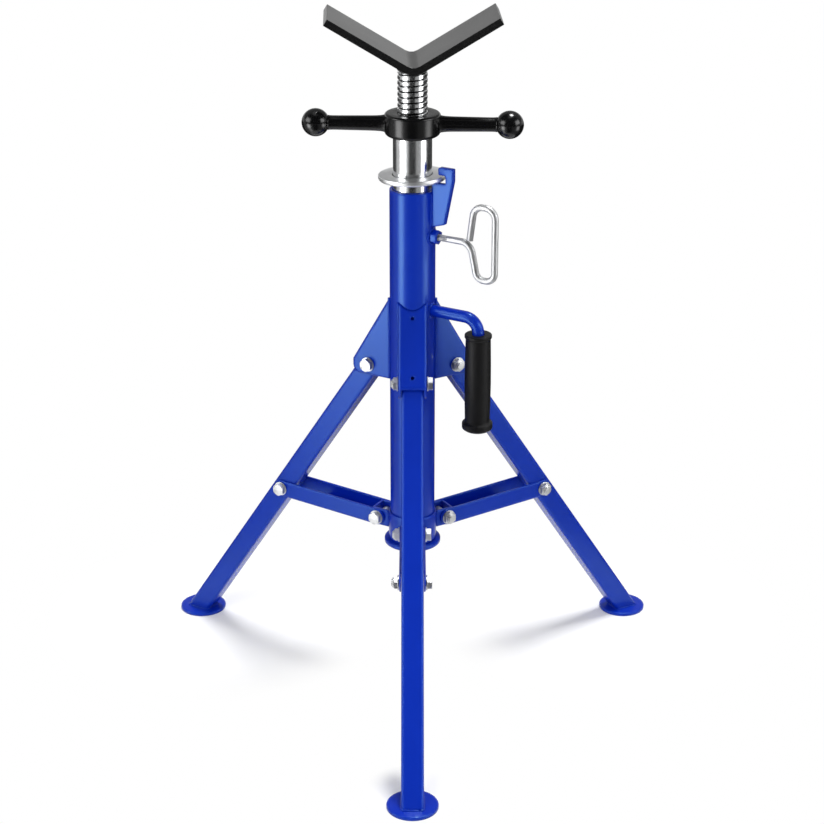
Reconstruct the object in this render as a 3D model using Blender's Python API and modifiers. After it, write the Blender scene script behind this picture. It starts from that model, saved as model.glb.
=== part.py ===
"""Folding pipe jack stand: a tripod column, a telescoping tube, a jack screw and a V head.

Lengths are metres, angles are degrees and +Z is up. The origin is on the floor, under the
middle of the stand's box, and the column's axis stands a quarter of the feet's reach behind it.
The three legs repeat round the column, so a leg's pieces are drawn in a leg frame: x runs
outward from the column's axis, z runs up, and y is the direction of the pivot bolts.
"""

import math

import bmesh
import bpy
from mathutils import Matrix, Vector

# Clearances, overruns and rounding
fit_gap = 0.0003
cut_overrun = 0.004
merge_distance = 0.00001
edge_round = 0.0008
round_sides = 32
foot_sides = 24
pin_sides = 12
arc_step = 22.5
smooth_angle = 35.0
bend_share = 0.85
bend_segments = 3
bend_profile_share = 0.5
side_face_share = 0.9
web_face_share = 0.3
rod_resolution = 4

# Where the legs and the tackle stand round the column
leg_azimuths = {"front": -90.0, "right": 30.0, "left": 150.0}
tackle_azimuth = -30.0

# Feet and legs
foot_reach = 0.300
foot_radius = 0.0275
foot_thickness = 0.004
foot_edge_radius = 0.0015
leg_width = 0.024
leg_wall = 0.002
leg_corner_radius = 0.003
leg_above_pivot = 0.010
strut_pivot_down_leg = 0.2176
floor_cut_reach = 0.072

# Column and its base disc
base_disc_height = 0.164
base_disc_radius = 0.032
base_disc_thickness = 0.005
column_radius = 0.025
column_wall = 0.003

# Hoods that carry the legs
hood_pivot_reach = 0.0485
hood_pivot_height = 0.3762
hood_wall = 0.003
hood_side_clearance = 0.0005
hood_top_reach = 0.0218
hood_top_above_pivot = 0.0826
hood_brow_beyond_pivot = 0.0202
hood_brow_above_pivot = 0.0036
hood_brow_radius = 0.004
hood_web_end_above_pivot = 0.0002
hood_below_pivot = 0.0119
hood_toe_radius = 0.008
hood_hole_radius = 0.002
hood_high_hole_reach = 0.0300
hood_low_hole_reach = 0.0635

# Bolts, nuts and washers
bolt_radius = 0.004
bolt_clearance = 0.0003
bolt_head_flats = 0.013
bolt_head_height = 0.0050
nut_height = 0.0055
bolt_past_nut = 0.0012
washer_radius = 0.0082
washer_thickness = 0.0014

# Sliding collar and its lugs
sleeve_radius = 0.027
sleeve_height = 0.0332
lug_pivot_reach = 0.0394
lug_pivot_above_sleeve_foot = 0.0204
lug_beyond_pivot = 0.0076
lug_height = 0.020
lug_wall = 0.0025

# Struts
strut_wall = 0.002
strut_side_clearance = 0.0003
strut_depth = 0.020
strut_web_from_lug_pivot = 0.014
strut_web_short_of_leg_pivot = 0.045

# Telescoping tube, its guide bush and the jack screw
inner_tube_radius = 0.021
inner_tube_wall = 0.0035
inner_tube_length = 0.440
inner_tube_beyond_column = 0.0263
inner_tube_foot_above_base = 0.0398
bush_flange_thickness = 0.004
bush_spigot_height = 0.014
bush_bore_radius = 0.013
screw_radius = 0.016
screw_clearance = 0.0003
screw_length = 0.2302
screw_above_hub = 0.0459

# Jack nut: hub, arms and balls
hub_radius = 0.030
hub_height = 0.0245
hub_over_tube = 0.007
hub_lower_edge_radius = 0.005
hub_upper_edge_radius = 0.0025
arm_root_radius = 0.0084
arm_tip_radius = 0.0076
arm_above_hub_foot = 0.0125
arm_yaw = -3.0
ball_reach = 0.1033
ball_radius = 0.015
ball_meridians = 20
ball_rings = 12

# V head
head_gap_to_screw = 0.0003
head_boss_radius = 0.0165
head_boss_height = 0.0082
head_bar_thickness = 0.0078
head_bar_depth = 0.078
head_half_span = 0.0891
head_rise_angle = 31.0
head_bend_radius = 0.0125
head_yaw = 1.8

# Latch plate and clutch ring
latch_thickness = 0.006
latch_foot_below_column_top = 0.039
latch_heel_reach = 0.041
latch_heel_below_column_top = 0.0344
latch_shoulder_reach = 0.0510
latch_shoulder_above_column_top = 0.0144
latch_tip_above_column_top = 0.0283
latch_hook_reach = 0.0330
latch_corner_radius = 0.001
notch_reach = 0.0418
notch_floor_above_column_top = 0.0105
notch_height = 0.0095
notch_corner_radius = 0.002
ring_radius = 0.037
ring_bore_clearance = 0.001
ring_thickness = 0.006
ring_pivot_reach = 0.038
ring_pivot_above_column_top = 0.0147
ring_tilt = 2.0

# Clamp screw: a bent wire with a loop, through a boss on the column
clamp_below_column_top = 0.0502
boss_flats = 0.014
boss_reach = 0.0330
wire_radius = 0.00365
wire_neck_reach = 0.0715
wire_neck_radius = 0.014
loop_inner_reach = 0.0798
loop_outer_reach = 0.101
loop_below_axis = 0.0398
loop_above_axis = 0.0413
loop_low_radius = 0.0101
loop_high_reach = 0.0757
loop_high_radius = 0.0118
loop_end_reach = 0.0705
loop_end_above_axis = 0.0028

# Carry handle
handle_below_column_top = 0.1348
handle_rod_radius = 0.0066
handle_bend_radius = 0.0165
handle_grip_reach = 0.0823
grip_below_rod = 0.017
grip_length = 0.1131
grip_radius = 0.0147
grip_neck_radius = 0.0137
grip_belly_radius = 1.2
grip_rod_depth = 0.085
grip_top_flange_radius = 0.0149
grip_top_flange_thickness = 0.0035
grip_low_flange_radius = 0.0169
grip_low_flange_thickness = 0.0065
grip_dome_height = 0.0035
grip_flange_run = 0.0015

# Finishes: colour, roughness and metallic value
finishes = {
    "blue_paint": ((0.012, 0.045, 0.390, 1.0), 0.38, 0.0),
    "black_paint": ((0.012, 0.013, 0.016, 1.0), 0.32, 0.0),
    "black_rubber": ((0.018, 0.018, 0.019, 1.0), 0.75, 0.0),
    "chrome": ((0.80, 0.81, 0.82, 1.0), 0.12, 1.0),
    "zinc": ((0.62, 0.63, 0.64, 1.0), 0.35, 1.0),
    "brass": ((0.70, 0.52, 0.24, 1.0), 0.40, 1.0),
}

# Heights and half widths that follow from the sizes above
column_offset = foot_reach * (1 - math.sin(math.radians(leg_azimuths["right"]))) / 2
base_top = base_disc_height + base_disc_thickness
column_foot = base_top + fit_gap
column_length = inner_tube_length - inner_tube_beyond_column
column_top = column_foot + column_length
column_bore_radius = column_radius - column_wall
bolt_hole_radius = bolt_radius + bolt_clearance
hood_half_width = leg_width / 2 + hood_side_clearance + hood_wall
strut_half_width = leg_width / 2 + strut_side_clearance + strut_wall
clamp_height = column_top - clamp_below_column_top
handle_height = column_top - handle_below_column_top
inner_tube_foot = base_top + inner_tube_foot_above_base
inner_tube_top = inner_tube_foot + inner_tube_length
hub_foot = inner_tube_top - hub_over_tube
hub_top = hub_foot + hub_height
screw_top = hub_top + screw_above_hub
head_boss_foot = screw_top + head_gap_to_screw

# The leg's line and the strut's line in a leg frame, as (reach, height)
hood_pivot = Vector((hood_pivot_reach, hood_pivot_height))
foot_top = Vector((foot_reach, foot_thickness))
leg_line = (foot_top - hood_pivot).normalized()
leg_tilt = math.atan2(leg_line.x, -leg_line.y)
strut_pivot = hood_pivot + leg_line * strut_pivot_down_leg
lug_pivot = Vector((lug_pivot_reach, column_foot + lug_pivot_above_sleeve_foot))
strut_line = strut_pivot - lug_pivot
strut_span = strut_line.length
strut_rise = math.atan2(strut_line.y, strut_line.x)


def clear_scene():
    """Remove every object, so that the script gives the same result each time."""
    for thing in list(bpy.data.objects):
        bpy.data.objects.remove(thing, do_unlink=True)


def new_collection(name):
    """A fresh collection under the scene's own."""
    old = bpy.data.collections.get(name)
    if old:
        bpy.data.collections.remove(old)
    collection = bpy.data.collections.new(name)
    bpy.context.scene.collection.children.link(collection)
    return collection


def new_finish(name):
    """A Principled material from the table of finishes."""
    colour, roughness, metallic = finishes[name]
    material = bpy.data.materials.get(name) or bpy.data.materials.new(name)
    material.use_nodes = True
    material.diffuse_color = colour
    shader = material.node_tree.nodes["Principled BSDF"]
    shader.inputs["Base Color"].default_value = colour
    shader.inputs["Roughness"].default_value = roughness
    shader.inputs["Metallic"].default_value = metallic
    return material


clear_scene()
stand = new_collection("pipe_jack_stand")
cutters = new_collection("cutters")


def at(x, y, z):
    """A move, as a matrix."""
    return Matrix.Translation((x, y, z))


def turn(degrees, axis):
    """A turn about one axis, as a matrix."""
    return Matrix.Rotation(math.radians(degrees), 4, axis)


def round_frame(azimuth):
    """Frame at the column's axis with x pointing outward at an azimuth."""
    return at(0, column_offset, 0) @ turn(azimuth, "Z")


def workpiece(name, data):
    """A new object among the cutters, where it stays until it is placed or used up."""
    piece = bpy.data.objects.new(name, data)
    cutters.objects.link(piece)
    piece.hide_render = True
    piece.display_type = "WIRE"
    return piece


def settled_mesh(piece):
    """The object's evaluated shape as a mesh with its loose caps welded."""
    bpy.context.view_layer.update()
    graph = bpy.context.evaluated_depsgraph_get()
    mesh = bpy.data.meshes.new_from_object(piece.evaluated_get(graph), depsgraph=graph)
    shape = bmesh.new()
    shape.from_mesh(mesh)
    bmesh.ops.remove_doubles(shape, verts=shape.verts, dist=merge_distance)
    shape.to_mesh(mesh)
    shape.free()
    return mesh


def settle(piece):
    """Put the modifiers' result in the object's own mesh."""
    mesh = settled_mesh(piece)
    old = piece.data
    piece.modifiers.clear()
    piece.data = mesh
    bpy.data.meshes.remove(old)
    return piece


def settle_curve(piece):
    """Replace a curve object by a mesh object of the same shape, name and place."""
    mesh = settled_mesh(piece)
    place = piece.matrix_world.copy()
    name = piece.name
    bpy.data.objects.remove(piece, do_unlink=True)
    solid = workpiece(name, mesh)
    solid.matrix_world = place
    return solid


def combine(body, tool, operation="DIFFERENCE"):
    """Cut a tool from a body, or join it on, and use the tool up."""
    joint = body.modifiers.new(operation.lower(), "BOOLEAN")
    joint.operation = operation
    joint.solver = "EXACT"
    joint.object = tool
    settle(body)
    bpy.data.objects.remove(tool, do_unlink=True)
    return body


def arc_corners(corners):
    """Points of an outline whose corners, given as (x, z, radius), are turned into arcs."""
    points = []
    for index, (x, z, radius) in enumerate(corners):
        corner = Vector((x, z))
        if radius == 0:
            points.append(corner)
            continue
        back = (Vector(corners[index - 1][:2]) - corner).normalized()
        ahead = (Vector(corners[(index + 1) % len(corners)][:2]) - corner).normalized()
        half = back.angle(ahead) / 2
        centre = corner + (back + ahead).normalized() * radius / math.sin(half)
        first = corner + back * radius / math.tan(half) - centre
        last = corner + ahead * radius / math.tan(half) - centre
        start = math.atan2(first.y, first.x)
        sweep = (math.atan2(last.y, last.x) - start + math.pi) % (2 * math.pi) - math.pi
        steps = max(2, math.ceil(abs(math.degrees(sweep)) / arc_step))
        for step in range(steps + 1):
            angle = start + sweep * step / steps
            points.append(centre + radius * Vector((math.cos(angle), math.sin(angle))))
    return points


def flat_curve(name, outlines, thickness):
    """Filled 2D outlines, the later ones holes in the first, with a thickness along z."""
    curve = bpy.data.curves.new(name, "CURVE")
    curve.dimensions = "2D"
    curve.fill_mode = "BOTH"
    curve.extrude = thickness / 2
    for outline in outlines:
        spline = curve.splines.new("POLY")
        spline.points.add(len(outline) - 1)
        for point, (x, y) in zip(spline.points, outline):
            point.co = (x, y, 0, 1)
        spline.use_cyclic_u = True
    solid = settle_curve(workpiece(name, curve))
    shape = bmesh.new()
    shape.from_mesh(solid.data)
    bmesh.ops.dissolve_limit(
        shape, angle_limit=math.radians(1), verts=shape.verts, edges=shape.edges)
    shape.to_mesh(solid.data)
    shape.free()
    return solid


def plate(name, corners, thickness):
    """An outline in the x-z plane, with half its thickness on each side of that plane."""
    solid = flat_curve(name, [arc_corners(corners)], thickness)
    solid.data.transform(turn(90, "X"))
    return solid


def bend_edges(body, direction, radius):
    """Round the edges between a plate's two sides and its faces that look one way."""
    shape = bmesh.new()
    shape.from_mesh(body.data)
    bends = []
    for edge in shape.edges:
        sides = [face for face in edge.link_faces if abs(face.normal.y) > side_face_share]
        webs = [
            face for face in edge.link_faces
            if face.normal.dot(Vector(direction)) > web_face_share]
        if sides and webs:
            bends.append(edge)
    bmesh.ops.bevel(
        shape, geom=bends, offset=radius, segments=bend_segments, profile=bend_profile_share,
        affect="EDGES", clamp_overlap=False)
    shape.to_mesh(body.data)
    shape.free()
    return body


def turned(name, profile, sides=round_sides):
    """A profile of (radius, height) turned about z; it runs down its outer side."""
    mesh = bpy.data.meshes.new(name)
    edges = [(index, index + 1) for index in range(len(profile) - 1)]
    if profile[0][0] > 0:
        edges.append((len(profile) - 1, 0))
    mesh.from_pydata([(radius, 0, height) for radius, height in profile], edges, [])
    piece = workpiece(name, mesh)
    screw = piece.modifiers.new("turn", "SCREW")
    screw.steps = sides
    screw.render_steps = sides
    screw.use_merge_vertices = True
    screw.merge_threshold = merge_distance
    return settle(piece)


def bar(name, radius, start, end, sides=pin_sides, end_radius=None):
    """A straight round bar between two points, or a taper if its end radius is given."""
    start = Vector(start)
    end = Vector(end)
    shape = bmesh.new()
    bmesh.ops.create_cone(
        shape, cap_ends=True, segments=sides, radius1=radius, radius2=end_radius or radius,
        depth=(end - start).length)
    mesh = bpy.data.meshes.new(name)
    shape.to_mesh(mesh)
    shape.free()
    aim = (end - start).to_track_quat("Z", "Y").to_matrix().to_4x4()
    mesh.transform(Matrix.Translation((start + end) / 2) @ aim)
    return workpiece(name, mesh)


def block(name, low, high):
    """A box between two corners."""
    low = Vector(low)
    high = Vector(high)
    shape = bmesh.new()
    bmesh.ops.create_cube(shape, size=1)
    mesh = bpy.data.meshes.new(name)
    shape.to_mesh(mesh)
    shape.free()
    size = high - low
    mesh.transform(Matrix.Translation((low + high) / 2) @ Matrix.Diagonal((*size, 1)))
    return workpiece(name, mesh)


def bent_rod(name, corners, radius, resolution):
    """A round rod along an x-z route whose corners are arcs."""
    curve = bpy.data.curves.new(name, "CURVE")
    curve.dimensions = "3D"
    curve.bevel_depth = radius
    curve.bevel_resolution = resolution
    curve.use_fill_caps = True
    route = arc_corners(corners)
    spline = curve.splines.new("POLY")
    spline.points.add(len(route) - 1)
    for point, (x, z) in zip(spline.points, route):
        point.co = (x, 0, z, 1)
    return settle_curve(workpiece(name, curve))


def joint_axis(name, place, parent=None):
    """An empty that stands on a joint's axis and carries the pieces that move with it."""
    empty = bpy.data.objects.new(name, None)
    empty.empty_display_size = bolt_head_flats
    stand.objects.link(empty)
    hang(empty, parent, place)
    return empty


def hang(thing, parent, place):
    """Put a thing at a world place, carried by a parent that already has its own place."""
    if parent:
        thing.parent = parent
        thing.matrix_parent_inverse = Matrix(parent["place"]).inverted()
    thing.matrix_basis = place
    if thing.type == "EMPTY":
        thing["place"] = [list(row) for row in place]


def finish(name, shape, parent, place, finish_name):
    """Make the finished node: its own object, material and place, shaded round."""
    node = bpy.data.objects.new(name, shape.data)
    stand.objects.link(node)
    if not shape.data.materials:
        shape.data.materials.append(new_finish(finish_name))
        shape.data.shade_smooth()
        shape.data.set_sharp_from_angle(angle=math.radians(smooth_angle))
    hang(node, parent, place)
    return node


def used(*shapes):
    """Remove the working objects whose meshes the finished nodes now share."""
    for shape in shapes:
        bpy.data.objects.remove(shape, do_unlink=True)


def column_cutter(extra_radius):
    """A long bar round the column's axis, for saddles cut against the column."""
    return bar(
        "column_cutter", column_radius + extra_radius, (0, 0, 0), (0, 0, column_top * 2),
        round_sides)


def column_pieces(root):
    """The outer column with its base disc; the clamp wire passes through its wall."""
    tube = turned("column", [
        (column_radius, column_top), (column_radius, column_foot),
        (column_bore_radius, column_foot), (column_bore_radius, column_top)])
    hole = bar(
        "clamp_hole", wire_radius + bolt_clearance, (0, 0, clamp_height),
        (column_radius + cut_overrun, 0, clamp_height))
    combine(tube, hole)
    disc = turned("disc", [
        (0, base_top), (base_disc_radius - edge_round, base_top),
        (base_disc_radius, base_top - edge_round),
        (base_disc_radius, base_disc_height + edge_round),
        (base_disc_radius - edge_round, base_disc_height), (0, base_disc_height)])
    frame = round_frame(tackle_azimuth)
    finish("column_tube", tube, root, frame, "blue_paint")
    finish("base_disc", disc, root, frame, "blue_paint")
    used(tube, disc)


def hood_shape():
    """A sheet hood: two ears back to the column and a sloping web on the outside."""
    brow_reach = hood_pivot_reach + hood_brow_beyond_pivot
    brow_height = hood_pivot_height + hood_brow_above_pivot
    top_height = hood_pivot_height + hood_top_above_pivot
    low_height = hood_pivot_height - hood_below_pivot
    hood = plate("hood", [
        (0, low_height, 0), (brow_reach, low_height, hood_toe_radius),
        (brow_reach, brow_height, hood_brow_radius), (hood_top_reach, top_height, 0),
        (0, top_height, 0)], 2 * hood_half_width)
    bend_edges(hood, (1, 0, 0), hood_wall * bend_share)
    slope = Vector((hood_top_reach - brow_reach, top_height - brow_height)).normalized()
    inward = Vector((-slope.y, slope.x)) * hood_wall
    web_end = hood_pivot_height + hood_web_end_above_pivot
    inner_brow = Vector((brow_reach - hood_wall, brow_height - hood_wall / 2))
    inner_top = Vector((hood_top_reach, top_height)) + inward + slope * cut_overrun
    beyond = brow_reach + cut_overrun
    below = low_height - cut_overrun
    hollow = plate("hood_hollow", [
        (-cut_overrun, below, 0), (beyond, below, 0), (beyond, web_end, 0),
        (brow_reach - hood_wall, web_end, 0),
        (inner_brow.x, inner_brow.y, 0), (inner_top.x, inner_top.y, 0),
        (-cut_overrun, inner_top.y, 0)], leg_width + 2 * hood_side_clearance)
    combine(hood, hollow)
    combine(hood, column_cutter(fit_gap))
    combine(hood, bar(
        "pivot_hole", bolt_hole_radius,
        (hood_pivot_reach, -hood_half_width - cut_overrun, hood_pivot_height),
        (hood_pivot_reach, hood_half_width + cut_overrun, hood_pivot_height)))
    for reach in (hood_high_hole_reach, hood_low_hole_reach):
        share = (brow_reach - reach) / (brow_reach - hood_top_reach)
        height = brow_height + share * (top_height - brow_height)
        centre = Vector((reach, height))
        outer = centre - inward / hood_wall * cut_overrun
        inner = centre + inward + inward / hood_wall * fit_gap
        combine(hood, bar(
            "web_hole", hood_hole_radius, (inner.x, 0, inner.y), (outer.x, 0, outer.y)))
    return hood


def hex_bar(name, flats, low, high):
    """A hexagonal prism along z with a width across its flats."""
    return bar(name, flats / 2 / math.cos(math.radians(30)), (0, 0, low), (0, 0, high), 6)


def bolt_shape(name, half_width, shank_end):
    """A hexagon bolt with its washer, seated on a stack as wide as given each side of zero."""
    seat = half_width + fit_gap
    washer_top = seat + washer_thickness
    bolt = turned(name, [
        (0, washer_top), (washer_radius, washer_top), (washer_radius, seat),
        (bolt_radius, seat), (bolt_radius, shank_end), (0, shank_end)], pin_sides)
    head = hex_bar(
        "head", bolt_head_flats, seat + washer_thickness / 2, washer_top + bolt_head_height)
    return combine(bolt, head, "UNION")


def nut_shape(name, half_width, stub_end=None):
    """A nut with its washer on the far side of the stack, bored, or with a stub instead."""
    seat = -half_width - fit_gap
    washer_foot = seat - washer_thickness
    nut_foot = washer_foot - nut_height
    if stub_end is None:
        bore = bolt_hole_radius
        washer = turned(name, [
            (washer_radius, seat), (washer_radius, washer_foot), (bore, washer_foot),
            (bore, seat)], pin_sides)
    else:
        washer = turned(name, [
            (0, stub_end), (bolt_radius, stub_end), (bolt_radius, seat),
            (washer_radius, seat), (washer_radius, washer_foot), (0, washer_foot)], pin_sides)
    nut = combine(
        washer, hex_bar("nut", bolt_head_flats, nut_foot, seat - washer_thickness / 2),
        "UNION")
    if stub_end is None:
        combine(nut, bar(
            "nut_bore", bolt_hole_radius, (0, 0, nut_foot - cut_overrun),
            (0, 0, seat + cut_overrun)))
    return nut


def bolt_end(half_width):
    """Where a bolt's shank ends, past its nut."""
    return -half_width - fit_gap - washer_thickness - nut_height - bolt_past_nut


def leg_shape():
    """A square tube with its pivot holes, cut level above the foot; z runs up the leg."""
    half = leg_width / 2
    inner = half - leg_wall
    inner_radius = leg_corner_radius - leg_wall
    outside = [(half, half), (-half, half), (-half, -half), (half, -half)]
    inside = [(inner, inner), (-inner, inner), (-inner, -inner), (inner, -inner)]
    length = (foot_top - hood_pivot).length
    low = -length - leg_width
    outlines = [
        arc_corners([(x, y, leg_corner_radius) for x, y in outside]),
        arc_corners([(x, y, inner_radius) for x, y in inside])]
    leg = flat_curve("leg", outlines, leg_above_pivot - low)
    leg.data.transform(at(0, 0, (leg_above_pivot + low) / 2))
    leg.matrix_world = leg_place()
    combine(leg, block(
        "floor_cut",
        (foot_reach - floor_cut_reach, -leg_width, foot_thickness - floor_cut_reach),
        (foot_reach + floor_cut_reach, leg_width, foot_thickness + fit_gap)))
    for pivot in (hood_pivot, strut_pivot):
        combine(leg, bar(
            "leg_hole", bolt_hole_radius, (pivot.x, -leg_width, pivot.y),
            (pivot.x, leg_width, pivot.y)))
    return leg


def leg_place():
    """The leg's place in its leg frame: origin on the hood's pivot, z up the leg."""
    return at(hood_pivot.x, 0, hood_pivot.y) @ Matrix.Rotation(-leg_tilt, 4, "Y")


def foot_shape():
    """A flat round foot with a rounded upper edge."""
    profile = arc_corners([
        (0, foot_thickness, 0), (foot_radius, foot_thickness, foot_edge_radius),
        (foot_radius, 0, 0), (0, 0, 0)])
    return turned("foot", profile, foot_sides)


def strut_shape():
    """A channel open on top; its web stops short of both pivots to let them swing."""
    half = strut_depth / 2
    strut = plate("strut", [
        (-half, -half, half), (strut_span + half, -half, half),
        (strut_span + half, half, half), (-half, half, half)], 2 * strut_half_width)
    bend_edges(strut, (0, 0, -1), strut_wall * bend_share)
    start = strut_web_from_lug_pivot
    stop = strut_span - strut_web_short_of_leg_pivot
    over = half + cut_overrun
    floor = strut_wall - half
    hollow = plate("strut_hollow", [
        (-over, -over, 0), (start, -over, 0), (start, floor, 0), (stop, floor, 0),
        (stop, -over, 0), (strut_span + over, -over, 0), (strut_span + over, over, 0),
        (-over, over, 0)], leg_width + 2 * strut_side_clearance)
    combine(strut, hollow)
    for reach in (0, strut_span):
        combine(strut, bar(
            "strut_hole", bolt_hole_radius, (reach, -strut_half_width - cut_overrun, 0),
            (reach, strut_half_width + cut_overrun, 0)))
    return strut


def strut_place():
    """The strut's place in its leg frame: origin on the lug's pivot, x along the strut."""
    return at(lug_pivot.x, 0, lug_pivot.y) @ Matrix.Rotation(-strut_rise, 4, "Y")


def lug_shape():
    """A bent lug on the collar: two ears and an outer web; its origin is on its pivot."""
    half = lug_height / 2
    lug = plate("lug", [
        (-lug_pivot_reach, -half, 0), (lug_beyond_pivot, -half, 0),
        (lug_beyond_pivot, half, 0), (-lug_pivot_reach, half, 0)], leg_width)
    bend_edges(lug, (1, 0, 0), lug_wall * bend_share)
    inner_half = leg_width / 2 - lug_wall
    combine(lug, block(
        "lug_hollow", (-lug_pivot_reach - cut_overrun, -inner_half, -half - cut_overrun),
        (lug_beyond_pivot - lug_wall, inner_half, half + cut_overrun)))
    lug.matrix_world = at(lug_pivot.x, 0, lug_pivot.y)
    combine(lug, column_cutter(sleeve_radius - column_radius + fit_gap))
    combine(lug, bar(
        "lug_hole", bolt_hole_radius, (lug_pivot.x, -leg_width, lug_pivot.y),
        (lug_pivot.x, leg_width, lug_pivot.y)))
    return lug


def tripod_pieces(root, collar):
    """The three hoods, legs, feet, struts and lugs, with their bolts and nuts."""
    hood = hood_shape()
    leg = leg_shape()
    foot = foot_shape()
    strut = strut_shape()
    lug = lug_shape()
    hood_bolt = bolt_shape("hood_bolt", hood_half_width, bolt_end(hood_half_width))
    hood_nut = nut_shape("hood_nut", hood_half_width)
    lug_bolt = bolt_shape("lug_bolt", strut_half_width, bolt_end(strut_half_width))
    lug_nut = nut_shape("lug_nut", strut_half_width)
    stub_end = leg_width / 2 + strut_side_clearance
    end_bolt = bolt_shape("end_bolt", strut_half_width, stub_end)
    end_nut = nut_shape("end_nut", strut_half_width, -stub_end)
    along_y = turn(-90, "X")
    for side, azimuth in leg_azimuths.items():
        frame = round_frame(azimuth)
        at_hood = frame @ at(hood_pivot.x, 0, hood_pivot.y)
        at_lug = frame @ at(lug_pivot.x, 0, lug_pivot.y)
        at_end = frame @ at(strut_pivot.x, 0, strut_pivot.y)
        leg_axis = joint_axis(f"leg_axis_{side}", at_hood, root)
        strut_axis = joint_axis(f"strut_axis_{side}", at_lug, collar)
        finish(f"hood_{side}", hood, root, frame, "blue_paint")
        finish(f"pivot_bolt_{side}", hood_bolt, root, at_hood @ along_y, "zinc")
        finish(f"pivot_nut_{side}", hood_nut, root, at_hood @ along_y, "zinc")
        finish(f"leg_{side}", leg, leg_axis, frame @ leg_place(), "blue_paint")
        finish(f"foot_{side}", foot, leg_axis, frame @ at(foot_reach, 0, 0), "blue_paint")
        finish(f"collar_lug_{side}", lug, collar, at_lug, "blue_paint")
        finish(f"collar_bolt_{side}", lug_bolt, collar, at_lug @ along_y, "zinc")
        finish(f"collar_nut_{side}", lug_nut, collar, at_lug @ along_y, "zinc")
        finish(f"strut_{side}", strut, strut_axis, frame @ strut_place(), "blue_paint")
        finish(f"strut_end_bolt_{side}", end_bolt, strut_axis, at_end @ along_y, "zinc")
        finish(f"strut_end_nut_{side}", end_nut, strut_axis, at_end @ along_y, "zinc")
    used(hood, leg, foot, strut, lug, hood_bolt, hood_nut, lug_bolt, lug_nut, end_bolt, end_nut)


def collar_pieces(collar):
    """The sleeve that slides on the column and rests on the base disc."""
    bore = column_radius + fit_gap
    top = column_foot + sleeve_height
    sleeve = turned("sleeve", [
        (sleeve_radius, top), (sleeve_radius, column_foot), (bore, column_foot), (bore, top)])
    finish("collar_sleeve", sleeve, collar, round_frame(0), "blue_paint")
    used(sleeve)


def lift_pieces(lift, swivel):
    """The guide bush in the column, and the tube that turns on it."""
    tube_bore = inner_tube_radius - inner_tube_wall
    flange_top = inner_tube_foot - fit_gap
    bush_foot = flange_top - bush_flange_thickness
    spigot_top = flange_top + bush_spigot_height
    spigot_radius = tube_bore - fit_gap
    bush_radius = column_bore_radius - fit_gap
    bush = turned("bush", [
        (spigot_radius, spigot_top), (spigot_radius, flange_top), (bush_radius, flange_top),
        (bush_radius, bush_foot), (bush_bore_radius, bush_foot),
        (bush_bore_radius, spigot_top)])
    tube = turned("tube", [
        (inner_tube_radius, inner_tube_top), (inner_tube_radius, inner_tube_foot),
        (tube_bore, inner_tube_foot), (tube_bore, inner_tube_top)])
    finish("guide_bush", bush, lift, round_frame(0), "brass")
    finish("inner_tube", tube, swivel, round_frame(0), "chrome")
    used(bush, tube)


def nut_pieces(nut):
    """The turned hub over the tube's end, with two tapered arms and their balls."""
    bore = screw_radius + screw_clearance
    counterbore = inner_tube_radius + fit_gap
    counterbore_top = inner_tube_top + fit_gap
    hub = turned("hub", [
        (point.x, point.y) for point in arc_corners([
            (bore, hub_top, 0), (hub_radius, hub_top, hub_upper_edge_radius),
            (hub_radius, hub_foot, hub_lower_edge_radius), (counterbore, hub_foot, 0),
            (counterbore, counterbore_top, 0), (bore, counterbore_top, 0)])])
    arm_height = hub_foot + arm_above_hub_foot
    arm = bar(
        "arm", arm_root_radius, (hub_radius - cut_overrun, 0, arm_height),
        (ball_reach, 0, arm_height), pin_sides, arm_tip_radius)
    combine(arm, bar(
        "hub_cutter", hub_radius + fit_gap, (0, 0, 0), (0, 0, hub_top * 2), round_sides))
    ball_mesh = bpy.data.meshes.new("ball")
    shape = bmesh.new()
    bmesh.ops.create_uvsphere(
        shape, u_segments=ball_meridians, v_segments=ball_rings, radius=ball_radius)
    shape.to_mesh(ball_mesh)
    shape.free()
    ball_mesh.transform(at(ball_reach, 0, arm_height) @ turn(90, "Y"))
    ball = workpiece("ball", ball_mesh)
    combine(ball, bar(
        "ball_bore", arm_tip_radius + 2 * fit_gap, (hub_radius, 0, arm_height),
        (ball_reach + fit_gap, 0, arm_height)))
    finish("jack_nut_hub", hub, nut, round_frame(0), "black_paint")
    for side, azimuth in (("right", arm_yaw), ("left", arm_yaw + 180)):
        finish(f"nut_arm_{side}", arm, nut, round_frame(azimuth), "black_paint")
        finish(f"arm_ball_{side}", ball, nut, round_frame(azimuth), "black_paint")
    used(hub, arm, ball)


def head_pieces(screw_axis):
    """The jack screw and the bent V head with its boss."""
    screw_foot = screw_top - screw_length
    screw = turned("screw", [
        (0, screw_top), (screw_radius, screw_top), (screw_radius, screw_foot + edge_round),
        (screw_radius - edge_round, screw_foot), (0, screw_foot)])
    rise = math.radians(head_rise_angle)
    vertex = head_boss_foot + head_boss_height
    tip = vertex + head_half_span * math.tan(rise)
    under_reach = head_half_span + head_bar_thickness * math.sin(rise)
    under_tip = tip - head_bar_thickness * math.cos(rise)
    under_vertex = vertex - head_bar_thickness / math.cos(rise)
    head = plate("head", [
        (0, vertex, head_bend_radius), (head_half_span, tip, 0), (under_reach, under_tip, 0),
        (0, under_vertex, head_bend_radius + head_bar_thickness), (-under_reach, under_tip, 0),
        (-head_half_span, tip, 0)], head_bar_depth)
    combine(head, bar(
        "boss", head_boss_radius, (0, 0, head_boss_foot), (0, 0, vertex - edge_round),
        round_sides), "UNION")
    finish("jack_screw", screw, screw_axis, round_frame(0), "zinc")
    finish("v_head", head, screw_axis, round_frame(head_yaw), "black_paint")
    used(screw, head)


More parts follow.
